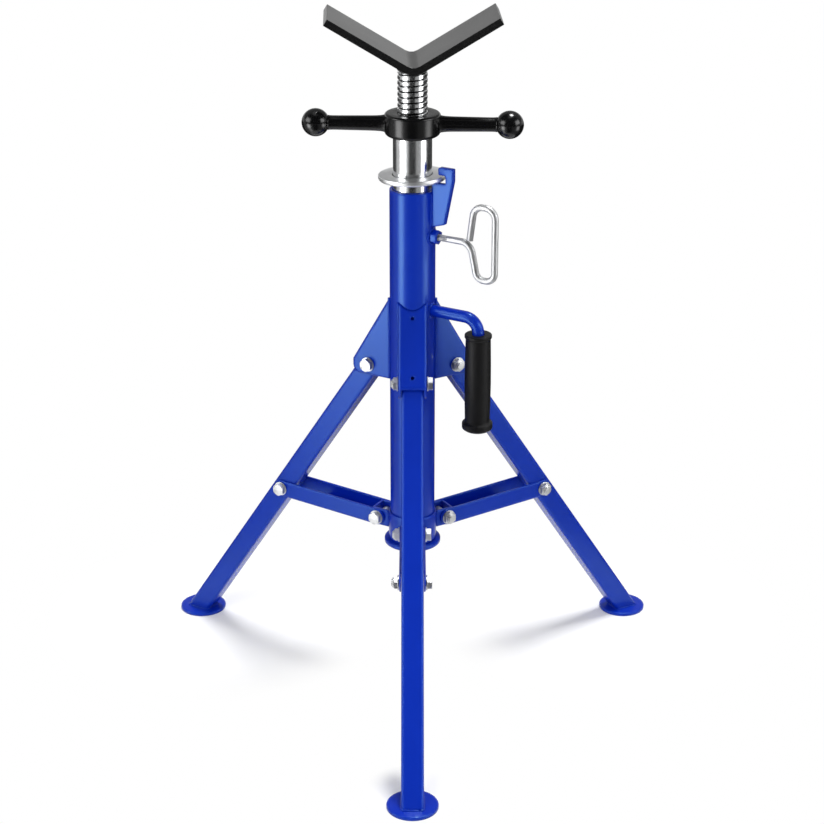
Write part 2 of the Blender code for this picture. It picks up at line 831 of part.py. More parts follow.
def latch_pieces(root, ring_axis):
    """The hooked latch plate and the clutch ring that tips in its notch."""
    foot = column_top - latch_foot_below_column_top
    heel = column_top - latch_heel_below_column_top
    shoulder = column_top + latch_shoulder_above_column_top
    tip = column_top + latch_tip_above_column_top
    notch_floor = column_top + notch_floor_above_column_top
    notch_roof = notch_floor + notch_height
    edge = column_radius + fit_gap
    latch = plate("latch", [
        (edge, foot, 0), (latch_heel_reach, heel, latch_corner_radius),
        (latch_shoulder_reach, shoulder, latch_corner_radius),
        (latch_shoulder_reach, tip, latch_corner_radius),
        (latch_hook_reach, tip, notch_corner_radius),
        (latch_hook_reach, notch_roof, notch_corner_radius),
        (notch_reach, notch_roof, notch_corner_radius),
        (notch_reach, notch_floor, notch_corner_radius), (edge, notch_floor, 0)],
        latch_thickness)
    ring_bore = inner_tube_radius + ring_bore_clearance
    half = ring_thickness / 2
    ring = turned("ring", [
        (ring_radius - edge_round, half), (ring_radius, half - edge_round),
        (ring_radius, edge_round - half), (ring_radius - edge_round, -half),
        (ring_bore, -half), (ring_bore, half)])
    ring.data.transform(at(-ring_pivot_reach, 0, 0))
    finish("latch_plate", latch, root, round_frame(tackle_azimuth), "blue_paint")
    finish(
        "clutch_ring", ring, ring_axis, ring_place() @ turn(-ring_tilt, "Y"), "zinc")
    used(latch, ring)


def ring_place():
    """The clutch ring's hinge, in the latch's notch."""
    height = column_top + ring_pivot_above_column_top
    return round_frame(tackle_azimuth) @ at(ring_pivot_reach, 0, height)


def clamp_pieces(root, clamp_axis):
    """The nut on the column, and the looped wire whose tip bears on the inner tube."""
    boss = hex_bar("boss", boss_flats, column_radius - cut_overrun, boss_reach)
    boss.data.transform(at(0, 0, clamp_height) @ turn(90, "Y") @ turn(90, "Z"))
    combine(boss, column_cutter(fit_gap))
    combine(boss, bar(
        "boss_bore", wire_radius + bolt_clearance, (0, 0, clamp_height),
        (boss_reach + cut_overrun, 0, clamp_height)))
    tip_reach = inner_tube_radius + fit_gap
    wire = bent_rod("wire", [
        (tip_reach, 0, 0), (wire_neck_reach, 0, wire_neck_radius),
        (loop_inner_reach, -loop_below_axis, loop_low_radius),
        (loop_outer_reach, -loop_below_axis, loop_low_radius),
        (loop_outer_reach, loop_above_axis, loop_high_radius),
        (loop_high_reach, loop_above_axis, loop_high_radius),
        (loop_end_reach, loop_end_above_axis, 0)], wire_radius, rod_resolution)
    finish("clamp_boss", boss, root, round_frame(tackle_azimuth), "blue_paint")
    finish("clamp_screw", wire, clamp_axis, clamp_place(), "zinc")
    used(boss, wire)


def clamp_place():
    """The clamp screw's axis, level and pointing outward."""
    return round_frame(tackle_azimuth) @ at(0, 0, clamp_height)


def handle_pieces(root):
    """The bent carry rod welded to the column, and its rubber grip."""
    grip_top = handle_height - grip_below_rod
    rod_end = grip_top - grip_rod_depth
    rod = bent_rod("rod", [
        (column_radius - cut_overrun, handle_height, 0),
        (handle_grip_reach, handle_height, handle_bend_radius),
        (handle_grip_reach, rod_end, 0)], handle_rod_radius, rod_resolution)
    combine(rod, column_cutter(fit_gap))
    bore = handle_rod_radius + fit_gap
    grip_foot = grip_top - grip_length
    dome_top = grip_foot + grip_dome_height
    low_flange_top = dome_top + grip_low_flange_thickness
    top_flange_foot = grip_top - grip_top_flange_thickness
    high_neck = top_flange_foot - grip_flange_run
    low_neck = low_flange_top + grip_flange_run
    profile = arc_corners([
        (0, rod_end - fit_gap, 0), (bore, rod_end - fit_gap, 0), (bore, grip_top, 0),
        (grip_top_flange_radius, grip_top, edge_round),
        (grip_top_flange_radius, top_flange_foot, 0),
        (grip_neck_radius, high_neck, 0),
        (grip_radius, (high_neck + low_neck) / 2, grip_belly_radius),
        (grip_neck_radius, low_neck, 0), (grip_low_flange_radius, low_flange_top, edge_round),
        (grip_low_flange_radius, dome_top, edge_round),
        (grip_radius - grip_flange_run, grip_foot + edge_round, edge_round),
        (0, grip_foot, 0)])
    grip = turned("grip", [(point.x, point.y) for point in profile], foot_sides)
    frame = round_frame(tackle_azimuth)
    finish("handle_rod", rod, root, frame, "blue_paint")
    finish("handle_grip", grip, root, frame @ at(handle_grip_reach, 0, 0), "black_rubber")
    used(rod, grip)


def build_stand():
    """Set up the joint axes and hang every piece on the one that carries it."""
    axis_frame = round_frame(0)
    root = joint_axis("stand_frame", axis_frame)
    collar = joint_axis("collar_axis", axis_frame, root)
    lift = joint_axis("lift_axis", axis_frame, root)
    swivel = joint_axis("swivel_axis", axis_frame, lift)
    nut = joint_axis("nut_axis", axis_frame, swivel)
    screw_axis = joint_axis("screw_axis", axis_frame, swivel)
    ring_axis = joint_axis("ring_axis", ring_place(), root)
    clamp_axis = joint_axis("clamp_axis", clamp_place(), root)
    column_pieces(root)
    tripod_pieces(root, collar)
    collar_pieces(collar)
    lift_pieces(lift, swivel)
    nut_pieces(nut)
    head_pieces(screw_axis)
    latch_pieces(root, ring_axis)
    clamp_pieces(root, clamp_axis)
    handle_pieces(root)


build_stand()
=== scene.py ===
"""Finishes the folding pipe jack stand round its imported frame.

The file is laid out as an add-on: property groups hold the sizes and colours, operators make the
pieces, and a panel lists them. Lengths are metres, in the frame's own axes: +Z is up, and the
column's axis stands behind the origin.
"""

import math

import bmesh
import bpy
import numpy as np
from mathutils import Matrix, Vector


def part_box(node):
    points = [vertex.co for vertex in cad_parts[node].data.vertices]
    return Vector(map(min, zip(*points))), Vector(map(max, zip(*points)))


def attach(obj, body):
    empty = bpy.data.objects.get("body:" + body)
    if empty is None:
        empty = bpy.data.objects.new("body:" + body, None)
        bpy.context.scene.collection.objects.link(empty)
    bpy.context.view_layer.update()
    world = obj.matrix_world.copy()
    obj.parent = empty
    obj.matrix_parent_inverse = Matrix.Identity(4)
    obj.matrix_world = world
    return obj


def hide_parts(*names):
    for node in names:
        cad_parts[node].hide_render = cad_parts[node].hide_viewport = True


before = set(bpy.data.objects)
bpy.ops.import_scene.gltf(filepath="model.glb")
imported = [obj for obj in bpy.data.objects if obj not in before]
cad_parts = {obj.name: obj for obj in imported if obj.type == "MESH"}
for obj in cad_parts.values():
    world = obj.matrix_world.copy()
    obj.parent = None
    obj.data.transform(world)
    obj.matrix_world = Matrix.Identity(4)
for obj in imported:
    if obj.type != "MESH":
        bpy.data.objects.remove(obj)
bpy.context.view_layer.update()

bl_info = {
    "name": "Pipe jack stand",
    "version": (1, 0, 0),
    "blender": (4, 5, 0),
    "location": "View3D > Sidebar > Jack stand",
    "description": "Makes the painted, plated and rubber pieces of a folding pipe jack stand",
    "category": "Object",
}

# The column's axis and the directions round it; along x its facets lie inside its radius
COLUMN_LOW, COLUMN_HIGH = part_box("column_tube")
AXIS_Y = (COLUMN_LOW.y + COLUMN_HIGH.y) / 2
FACET_LOSS = 0.00007
COLUMN_RADIUS = (COLUMN_HIGH.x - COLUMN_LOW.x) / 2 + FACET_LOSS
COLUMN_WALL = 0.003
COLUMN_BORE = COLUMN_RADIUS - COLUMN_WALL
COLUMN_TOP = COLUMN_HIGH.z
LEG_AZIMUTHS = {"front": -90.0, "right": 30.0, "left": 150.0}
TACKLE_AZIMUTH = -30.0

# Leg frame places, as (reach from the axis, height)
HOOD_PIVOT = (0.0485, 0.3762)
LUG_PIVOT = (0.0394, 0.1897)
STRUT_PIVOT = (0.1703, 0.1959)
HOOD_HALF_WIDTH = 0.0155
STRUT_HALF_WIDTH = 0.0143
SLEEVE_RADIUS = 0.027
FOOT_REACH = 0.300
LEG_TILT = 34.05
LEG_WIDTH = 0.024
SEAT_GAP = 0.0003

# Bolts, nuts and washers
BOLT_RADIUS = 0.0039
BOLT_FLATS = 0.013
BOLT_HEAD_HEIGHT = 0.0050
BOLT_PAST_NUT = 0.0012
NUT_BORE = 0.0041
NUT_HEIGHT = 0.0055
NUT_HEXAGON_HEIGHT = 0.0038
NUT_COLLAR_RADIUS = 0.0056
NUT_COLLAR_OVERLAP = 0.0004
WASHER_RADIUS = 0.0082
WASHER_THICKNESS = 0.0014
BOLT_REST = SEAT_GAP + WASHER_THICKNESS + NUT_HEIGHT + BOLT_PAST_NUT
STUB_END = 0.0123

# Tube, jack nut and arms; a flare is its height and the share of the arm that it fades over
TUBE_WALL = 0.0035
HUB_BORE = 0.0163
ARM_AZIMUTHS = {"right": -3.0, "left": 177.0}
ARM_ENTRY = 0.0024
ARM_RADIUS = 0.0083
ARM_TAPER = 0.0008
ROOT_FLARE = (0.0020, 0.06)
TIP_FLARE = (0.0006, 0.04)
BALL_REACH = 0.1033
BALL_ENTRY_SHARE = 0.85

# Clutch ring
RING_RADIUS = 0.037
RING_BORE = 0.022
RING_HALF = 0.003
RING_RISE = 0.0147
RING_TILT = -2.0
RING_PIVOT_REACH = 0.038

# Clamp wire, with its route as (reach, height, bend radius)
WIRE_RADIUS = 0.00362
WIRE_PITCH = 0.00175
WIRE_GROOVE_SHARE = 0.13
WIRE_START = 0.0213
WIRE_THREAD_END = 0.0445
WIRE_STEP = 0.0002
WIRE_ROUTE = (
    (WIRE_START, 0, 0), (0.0715, 0, 0.014), (0.0798, -0.0398, 0.0101), (0.101, -0.0398, 0.0101),
    (0.101, 0.0413, 0.0118), (0.0757, 0.0413, 0.0118), (0.0705, 0.0028, 0))

# Carry rod and grip
ROD_RADIUS = 0.00655
ROD_BEND = 0.0165
ROD_RISE = 0.017
ROD_ENTRY = 0.0014
ROD_DEPTH = 0.020
GRIP_REACH = 0.0823
GRIP_FLANGE_RADIUS = 0.0149
GRIP_NECK_RADIUS = 0.0137
GRIP_BELLY_RADIUS = 0.0147
GRIP_FOOT_RADIUS = 0.0169
GRIP_RIM_DEPTH = 0.004

# Welds; an edge weld is its tube's radius, its sheet's half width, how far it stands off the
# sheet, and the heights of its ends
EDGE_WELDS = {
    "hood": (COLUMN_RADIUS, HOOD_HALF_WIDTH, 0.0003, 0.367, 0.4600),
    "lug": (SLEEVE_RADIUS, LEG_WIDTH / 2, 0.0002, 0.1812, 0.1982)}
WELD_SHARES = {"hood": 1.0, "lug": 0.7, "foot": 0.7, "tackle": 0.75}
WELD_REACH = 0.0006
FOOT_WELD_HEIGHT = 0.0042
FOOT_WELD_CORNER = 0.004
BOSS_WELD_RADIUS = 0.0083
ROD_WELD_RADIUS = 0.0072
SADDLE_LIFT = 0.0002
SADDLE_TURNS = 1.03
LATCH_WELD_SIDE = 0.0034
LATCH_WELD_LIFT = 0.0001
LATCH_WELD_ENDS = (0.001, 0.0015)

# Shading and mesh fineness
ROUND_SIDES = 96
TUBE_SIDES = 128
BALL_SIDES = 64
WASHER_SIDES = 48
ROD_SIDES = 32
HEXAGON_SIDES = 72
BEAD_SIDES = 10
RINGS_PER_RIPPLE = 5
ARM_RINGS = 40
BALL_RINGS = 49
ARC_STEP = 9.0
WIRE_ARC_STEP = 6.0
WELD_ARC_STEP = 15.0
GRIP_ARC_STEP = 3.0
HEAD_EDGE = 1.8
BOSS_EDGE = 2.0
MERGE = 1e-6
NODE_MERGE = 5e-6
FLAT_ANGLE = 0.6
SHARP_ANGLE = 38.0
CHAMFER_ANGLE = 30.0
CHAMFER_SHARE = 0.97
THREAD_SIDES = 64
THREAD_ROW_SHARE = 1 / 18
THREAD_END_SHARE = 1 / 3
GROOVE_HALF_SHARE = 0.21
RIPPLE_SHARE = 0.15

# Camera fitted to the photograph
IMAGE_SIZE = 824
FOCAL_PIXELS = 2107.48
SENSOR_WIDTH = 36.0
CAMERA_PLACE = (-0.00022, -2.10831, 1.2243)
CAMERA_PITCH = 67.99
PRINCIPAL_POINT = (412.3, 396.38)

# Light; a lamp is its azimuth, elevation, distance, size and power, and whether metal shows it
WHITE = (1, 1, 1, 1)
STAND_MIDDLE = 0.40
WORLD_LEVEL = 0.38
LAMPS = {
    "overhead": (39.0, 76.0, 3.0, 0.8, 74.0, True),
    "front_left": (-125.0, 32.0, 3.2, 2.2, 38.0, False),
    "front_right": (-50.0, 28.0, 3.2, 2.2, 18.0, False)}

# Floor, matte round a point near each foot; a spread above one makes that part smaller
FLOOR_HALF = 6
FLOOR_POINTS = 13
FLOOR_GREY = 0.86
FLOOR_LIFT = 0.10
SHADOW_REACH = 0.27
SHADOW_SPREADS = {"front": 4.0, "right": 1.0, "left": 1.0}
SHADOW_FADE = (0.10, 0.22)
FAR_AWAY = 9.0

# Cards that only reflections see; the elevations are the lowest, the highest and their count
CARD_HEIGHT = 0.002
CARD_REACHES = (0.42, 0.7, 0.85, 1.0, 1.2, 1.4, 1.6, 2.0, 3.0, 6.0)
DOME_RADIUS = 6.0
DOME_ELEVATIONS = (1, 86, 35)

# What every colour property shares
COLOUR = {"subtype": "COLOR", "size": 3, "min": 0.0, "max": 1.0}


class StandSizes(bpy.types.PropertyGroup):
    """Sizes of the finish and of the small fastening detail."""
    sheet_edge: bpy.props.FloatProperty(
        name="Sheet edge", description="Rounding of the cut edges of sheet and tube",
        default=0.0005, min=0.0, unit="LENGTH")
    thread_pitch: bpy.props.FloatProperty(
        name="Jack thread pitch", description="Rise of the jack screw in one turn",
        default=0.006, min=0.001, unit="LENGTH")
    thread_depth: bpy.props.FloatProperty(
        name="Jack thread depth", description="Depth of the groove between two turns",
        default=0.0016, min=0.0, unit="LENGTH")
    bead_radius: bpy.props.FloatProperty(
        name="Weld bead", description="Radius of a weld bead under the paint",
        default=0.0019, min=0.0, unit="LENGTH")
    bead_step: bpy.props.FloatProperty(
        name="Weld ripple", description="Distance between two ripples of a weld bead",
        default=0.0022, min=0.0005, unit="LENGTH")


class StandColours(bpy.types.PropertyGroup):
    """Colours of the paint, rubber and plating."""
    paint: bpy.props.FloatVectorProperty(
        name="Frame paint", description="Colour of the powder coat on the frame",
        **COLOUR, default=(0.0015, 0.022, 0.41))
    black: bpy.props.FloatVectorProperty(
        name="Black coat", description="Colour of the head, hub, arms and knobs",
        **COLOUR, default=(0.003, 0.003, 0.0033))
    rubber: bpy.props.FloatVectorProperty(
        name="Grip rubber", description="Colour of the carry handle's grip",
        **COLOUR, default=(0.0045, 0.0045, 0.005))
    chrome: bpy.props.FloatVectorProperty(
        name="Chrome", description="Colour of the plated tube and the jack screw",
        **COLOUR, default=(0.86, 0.87, 0.88))
    zinc: bpy.props.FloatVectorProperty(
        name="Zinc", description="Colour of the plated bolts, ring and wire",
        **COLOUR, default=(0.88, 0.89, 0.90))
    brass: bpy.props.FloatVectorProperty(
        name="Bush", description="Colour of the guide bush inside the column",
        **COLOUR, default=(0.62, 0.42, 0.16))


def at(x, y, z):
    """A move, as a matrix."""
    return Matrix.Translation((x, y, z))


def turn(degrees, axis):
    """A turn about one axis, as a matrix."""
    return Matrix.Rotation(math.radians(degrees), 4, axis)


def round_frame(azimuth):
    """Frame at the column's axis with x pointing outward at an azimuth."""
    return at(0, AXIS_Y, 0) @ turn(azimuth, "Z")


# Meshes

def full_turn(sides):
    """Evenly spaced angles of one turn."""
    return np.linspace(0, 2 * math.pi, sides, endpoint=False)


def unit(vectors):
    """The vector of each row, with its length made one."""
    return vectors / np.linalg.norm(vectors, axis=1, keepdims=True)


def arc_corners(corners, step=ARC_STEP):
    """Outline points with corners, given as (x, z, radius), turned into arcs.

    An arc's centre lies on the corner's bisector, radius / sin(half angle) from the corner, and
    its points are centre + radius * (cos, sin) of evenly spaced angles between the two tangents.
    """
    points = []
    for index, (x, z, radius) in enumerate(corners):
        corner = np.array((x, z))
        if radius == 0:
            points.append(corner[None])
            continue
        back = np.array(corners[index - 1][:2]) - corner
        ahead = np.array(corners[(index + 1) % len(corners)][:2]) - corner
        back = back / np.linalg.norm(back)
        ahead = ahead / np.linalg.norm(ahead)
        half = math.acos(float(np.clip(back @ ahead, -1, 1))) / 2
        bisector = (back + ahead) / np.linalg.norm(back + ahead)
        centre = corner + bisector * radius / math.sin(half)
        first = corner + back * radius / math.tan(half) - centre
        last = corner + ahead * radius / math.tan(half) - centre
        start = math.atan2(first[1], first[0])
        sweep = (math.atan2(last[1], last[0]) - start + math.pi) % (2 * math.pi) - math.pi
        steps = max(2, math.ceil(abs(math.degrees(sweep)) / step))
        angle = start + sweep * np.linspace(0, 1, steps + 1)
        points.append(centre + radius * np.stack([np.cos(angle), np.sin(angle)], 1))
    return np.concatenate(points)


def grid_mesh(name, points, wrap_rows=False, wrap_columns=True):
    """A mesh from rows x columns of points: point (i, j) joins (i + 1, j) and (i, j + 1)."""
    rows, columns = points.shape[:2]
    index = np.arange(rows * columns).reshape(rows, columns)
    row = np.arange(rows if wrap_rows else rows - 1)
    column = np.arange(columns if wrap_columns else columns - 1)
    low = index[row][:, column]
    next_column = index[row][:, (column + 1) % columns]
    both = index[(row + 1) % rows][:, (column + 1) % columns]
    next_row = index[(row + 1) % rows][:, column]
    faces = np.stack([low, next_row, both, next_column], -1).reshape(-1, 4)
    mesh = bpy.data.meshes.new(name)
    mesh.from_pydata(points.reshape(-1, 3).tolist(), [], faces.tolist())
    return mesh


def weld_mesh(mesh):
    """Close the seams and poles of a grid: points nearer than the merge distance become one."""
    shape = bmesh.new()
    shape.from_mesh(mesh)
    bmesh.ops.remove_doubles(shape, verts=shape.verts, dist=MERGE)
    bmesh.ops.recalc_face_normals(shape, faces=shape.faces)
    shape.to_mesh(mesh)
    shape.free()
    return mesh


def turned(name, profile, sides=ROUND_SIDES):
    """A turned shape: row i, column j is (r_i cos a_j, r_i sin a_j, z_i) of a (r, z) profile.

    The profile closes on itself when its ends stand off the axis, as on a tube.
    """
    profile = np.asarray(profile, float)
    angle = full_turn(sides)
    radius = profile[:, :1]
    height = profile[:, 1:] + 0 * angle
    points = np.stack([radius * np.cos(angle), radius * np.sin(angle), height], -1)
    return weld_mesh(grid_mesh(name, points, wrap_rows=profile[0, 0] > MERGE))


def swept(name, path, radii):
    """A rod along a path in the x-z plane: ring i is p_i + r_i (cos a N_i + sin a Y).

    N_i is the path's normal in its plane, and the ends close with rings of shrinking radius.
    """
    path = np.asarray(path, float)
    radii = np.broadcast_to(np.asarray(radii, float), len(path))
    along = unit(np.gradient(path, axis=0))
    end_share = np.array([0.0, 0.86, 0.96, 1.0])
    end_step = np.array([0.0, 0.0, 0.04, 0.14])
    low = path[0] + along[0] * (end_step * radii[0])[:, None]
    high = path[-1] - along[-1] * (end_step[::-1] * radii[-1])[:, None]
    centre = np.concatenate([low, path[1:-1], high])
    radius = np.concatenate([end_share * radii[0], radii[1:-1], end_share[::-1] * radii[-1]])
    heading = np.concatenate([
        np.repeat(along[:1], 4, axis=0), along[1:-1], np.repeat(along[-1:], 4, axis=0)])
    angle = full_turn(ROD_SIDES)
    normal = np.stack([-heading[:, 1], heading[:, 0]], 1)
    across = radius[:, None] * np.cos(angle)
    points = np.stack([
        centre[:, :1] + normal[:, :1] * across, radius[:, None] * np.sin(angle),
        centre[:, 1:] + normal[:, 1:] * across], -1)
    return weld_mesh(grid_mesh(name, points))


def hexagon(name, low, high, chamfer_low=False, bore=0.0, sides=HEXAGON_SIDES):
    """A hexagon nut or head along z: radius (f / 2) / cos(a mod 60 - 30), with coned ends.

    The cone meets each flat at the height high - (r - f / 2) tan 30, so the corners dip.
    """
    angle = full_turn(sides)
    apothem = BOLT_FLATS / 2
    rim = apothem / np.cos((angle + math.pi / 6) % (math.pi / 3) - math.pi / 6)
    drop = (rim - apothem) * math.tan(math.radians(CHAMFER_ANGLE))
    flat = apothem * CHAMFER_SHARE
    rows = [
        (bore, high), (flat, high), (rim, high - drop), (rim, low + drop * chamfer_low),
        (flat if chamfer_low else rim, low), (bore, low)]
    points = np.stack([
        np.stack([radius * np.cos(angle), radius * np.sin(angle), height + 0 * angle], -1)
        for radius, height in rows])
    return weld_mesh(grid_mesh(name, points, wrap_rows=bore > 0))


def threaded(name, radius, depth, pitch, low, high):
    """A threaded bar: radius r - d * groove((z / pitch - a / 2 pi) mod 1), round at both ends.

    The groove rises and falls smoothly: it is (1 - t^2)^2 for t within the groove's half width.
    """
    rows = int((high - low) / (pitch * THREAD_ROW_SHARE)) + 1
    height = np.linspace(low, high, rows)[:, None]
    angle = full_turn(THREAD_SIDES)
    phase = (height / pitch - angle / (2 * math.pi)) % 1.0
    distance = np.clip(np.abs(phase - 0.5) / GROOVE_HALF_SHARE, 0, 1)
    groove = (1 - distance ** 2) ** 2
    fade = np.clip(np.minimum(height - low, high - height) / (pitch * THREAD_END_SHARE), 0, 1)
    ring = radius - depth * groove - depth * (1 - fade) * (1 - groove)
    points = np.stack([ring * np.cos(angle), ring * np.sin(angle), height + 0 * angle], -1)
    to_axis = np.array((0, 0, 1))
    points = np.concatenate([points[:1] * to_axis, points, points[-1:] * to_axis])[::-1]
    mesh = grid_mesh(name, points)
    # the groove's depth goes on the mesh, where it darkens the metal's colour as painted shade
    depths = np.concatenate([groove[:1] * 0, groove, groove[:1] * 0])[::-1]
    mesh.attributes.new("groove", "FLOAT", "POINT").data.foreach_set(
        "value", depths.astype(np.float32).ravel())
    return weld_mesh(mesh)


def bead_mesh(name, path, radius, step):
    """A weld bead: rings along a path in space, of radius r (1 - k + k |cos(pi s / step)|)."""
    path = np.asarray(path, float)
    along = unit(np.gradient(path, axis=0))
    length = np.concatenate([[0], np.cumsum(np.linalg.norm(np.diff(path, axis=0), axis=1))])
    wave = np.abs(np.cos(math.pi * length / step))
    ripple = radius * (1 - RIPPLE_SHARE + RIPPLE_SHARE * wave)
    ripple[0] = ripple[-1] = 0
    helper = np.where(np.abs(along[:, 2:]) > 0.7, (1.0, 0.0, 0.0), (0.0, 0.0, 1.0))
    side = unit(np.cross(along, helper))
    up = np.cross(side, along)
    angle = full_turn(BEAD_SIDES)
    points = path[:, None] + ripple[:, None, None] * (
        np.cos(angle)[None, :, None] * side[:, None] + np.sin(angle)[None, :, None] * up[:, None])
    return weld_mesh(grid_mesh(name, points))


def spaced(start, end, step):
    """Points along a straight line, about a step apart."""
    start, end = np.array((start, end), float)
    count = max(3, int(np.linalg.norm(end - start) / step) + 1)
    return start + (end - start) * np.linspace(0, 1, count)[:, None]


def joined(name, meshes):
    """Several meshes as one, each with its place already in it."""
    shape = bmesh.new()
    for mesh in meshes:
        shape.from_mesh(mesh)
        bpy.data.meshes.remove(mesh)
    result = bpy.data.meshes.new(name)
    shape.to_mesh(result)
    shape.free()
    return result


def moved(mesh, matrix):
    """The mesh, moved."""
    mesh.transform(matrix)
    return mesh


def softened_copy(name, node):
    """A copy of a node's sheet or tube, merged into flat faces, ready for a small edge bevel."""
    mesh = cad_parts[node].data.copy()
    mesh.name = name
    shape = bmesh.new()
    shape.from_mesh(mesh)
    bmesh.ops.remove_doubles(shape, verts=shape.verts, dist=NODE_MERGE)
    bmesh.ops.dissolve_limit(
        shape, angle_limit=math.radians(FLAT_ANGLE), verts=shape.verts, edges=shape.edges)
    shape.to_mesh(mesh)
    shape.free()
    return mesh


# Materials

def add_node(tree, kind, inputs=(), **settings):
    """A node with its settings, and each input given a value or linked to another's output."""
    node = tree.nodes.new(kind)
    for name, value in settings.items():
        setattr(node, name, value)
    for key, value in dict(inputs).items():
        if isinstance(value, bpy.types.NodeSocket):
            tree.links.new(value, node.inputs[key])
        else:
            node.inputs[key].default_value = value
    return node


def math_node(tree, operation, first, second):
    """The result of one operation on two values or outputs."""
    return add_node(tree, "ShaderNodeMath", {0: first, 1: second}, operation=operation).outputs[0]


def map_range(tree, value, to_min, to_max, from_min=0.0, from_max=1.0, **settings):
    """A value carried over from one range to another."""
    inputs = {
        "Value": value, "From Min": from_min, "From Max": from_max, "To Min": to_min,
        "To Max": to_max}
    return add_node(tree, "ShaderNodeMapRange", inputs, **settings).outputs["Result"]


def scaled_colour(tree, colour, scale):
    """A colour made lighter or darker."""
    inputs = {0: colour, "Scale": scale}
    return add_node(tree, "ShaderNodeVectorMath", inputs, operation="SCALE").outputs["Vector"]


def new_group(name, inputs):
    """A new group that puts out colour, roughness and normal, with its input node's outputs."""
    group = bpy.data.node_groups.new(name, "ShaderNodeTree")
    for label, value in inputs.items():
        kind = "NodeSocketColor" if isinstance(value, tuple) else "NodeSocketFloat"
        made = group.interface.new_socket(name=label, in_out="INPUT", socket_type=kind)
        made.default_value = value
    for label, kind in (("Colour", "Color"), ("Roughness", "Float"), ("Normal", "Vector")):
        group.interface.new_socket(name=label, in_out="OUTPUT", socket_type=f"NodeSocket{kind}")
    return group, group.nodes.new("NodeGroupInput").outputs


def coat_group():
    """Powder coat: orange peel over softly turned bends, and a faint drift of colour and gloss."""
    group = bpy.data.node_groups.get("powder_coat")
    if group:
        return group
    group, source = new_group("powder_coat", {
        "Colour": (0.5, 0.5, 0.5, 1), "Roughness": 0.35, "Peel scale": 700.0,
        "Peel height": 0.05, "Bend radius": 0.0})
    place = add_node(group, "ShaderNodeTexCoord").outputs["Object"]
    peel = add_node(group, "ShaderNodeTexNoise", {
        "Vector": place, "Scale": source["Peel scale"], "Detail": 2.0})
    bend = add_node(group, "ShaderNodeBevel", {"Radius": source["Bend radius"]}, samples=6)
    bump = add_node(group, "ShaderNodeBump", {
        "Strength": source["Peel height"], "Distance": 0.0004, "Height": peel.outputs["Fac"],
        "Normal": bend.outputs["Normal"]})
    drift = add_node(group, "ShaderNodeTexNoise", {"Vector": place, "Scale": 24.0, "Detail": 4.0})
    shade = map_range(group, drift.outputs["Fac"], 0.90, 1.08)
    add_node(group, "NodeGroupOutput", {
        "Colour": scaled_colour(group, source["Colour"], shade),
        "Roughness": math_node(group, "MULTIPLY", source["Roughness"], shade),
        "Normal": bump.outputs["Normal"]})
    return group


def metal_group():
    """Worked metal: fine scratches stretched along z, and a cloudy roughness.

    The attribute "groove", where a mesh has it, darkens the colour deep in a thread's groove as
    painted shade.
    """
    group = bpy.data.node_groups.get("worked_metal")
    if group:
        return group
    group, source = new_group("worked_metal", {
        "Colour": (0.6, 0.6, 0.6, 1), "Roughness": 0.2, "Scratch scale": 900.0,
        "Scratch stretch": 0.04, "Scratch height": 0.04})
    place = add_node(group, "ShaderNodeTexCoord").outputs["Object"]
    stretch = add_node(group, "ShaderNodeCombineXYZ", {
        "X": 1.0, "Y": 1.0, "Z": source["Scratch stretch"]})
    aim = add_node(group, "ShaderNodeVectorMath", {
        0: place, 1: stretch.outputs["Vector"]}, operation="MULTIPLY")
    scratch = add_node(group, "ShaderNodeTexNoise", {
        "Vector": aim.outputs["Vector"], "Scale": source["Scratch scale"], "Detail": 3.0})
    bump = add_node(group, "ShaderNodeBump", {
        "Strength": source["Scratch height"], "Distance": 0.0003,
        "Height": scratch.outputs["Fac"]})
    cloud = add_node(group, "ShaderNodeTexNoise", {
        "Vector": place, "Scale": 60.0, "Detail": 5.0}).outputs["Fac"]
    shade = map_range(group, cloud, 0.75, 1.25)
    tone = map_range(group, cloud, 0.92, 1.05)
    # painted shade: the colour goes darker where the thread's groove is deepest, on top of the
    # random tone
    groove_shade_mask = add_node(group, "ShaderNodeAttribute", attribute_name="groove").outputs["Fac"]
    painted_groove_shade = map_range(group, groove_shade_mask, 1.0, 0.06, 0.25, 0.80)
    tone_and_groove_shade = math_node(group, "MULTIPLY", tone, painted_groove_shade)
    add_node(group, "NodeGroupOutput", {
        "Colour": scaled_colour(group, source["Colour"], tone_and_groove_shade),
        "Roughness": math_node(group, "MULTIPLY", source["Roughness"], shade),
        "Normal": bump.outputs["Normal"]})
    return group


# Finishes: group, slot, colour and the share of it, roughness, shine, and the group's own values
PAINT = "blue_powder_coat"
PAINT_TINT = (0.38, 0.80, 1.0)
FINISHES = {
    PAINT: (coat_group, "blue_paint", "paint", 1.0, 0.26, 0.5, (620.0, 0.07, 0.0035)),
    "black_head_coat": (coat_group, "black_paint", "black", 1.0, 0.30, 0.8, (900.0, 0.12, 0.0)),
    "black_cast_gloss": (coat_group, "black_paint", "black", 1.0, 0.22, 0.36, (240.0, 0.14, 0.0)),
    "black_knob_gloss": (coat_group, "black_paint", "black", 1.0, 0.19, 0.42, (260.0, 0.05, 0.0)),
    "grip_rubber": (coat_group, "black_rubber", "rubber", 1.0, 0.50, 0.22, (1600.0, 0.35, 0.0)),
    "tube_chrome": (metal_group, "chrome", "chrome", 1.0, 0.19, 0.5, (1400.0, 0.03, 0.05)),
    "screw_steel": (metal_group, "zinc", "chrome", 1.0, 0.17, 0.5, (1100.0, 1.0, 0.06)),
    "bright_zinc": (metal_group, "zinc", "zinc", 0.74, 0.44, 0.5, (700.0, 1.0, 0.08)),
    "wire_zinc": (metal_group, "zinc", "zinc", 0.66, 0.50, 0.5, (900.0, 1.0, 0.06)),
    "ring_zinc": (metal_group, "zinc", "zinc", 1.0, 0.42, 0.5, (260.0, 1.0, 0.10)),
    "bush_brass": (metal_group, None, "brass", 1.0, 0.30, 0.5, (900.0, 1.0, 0.06)),
}


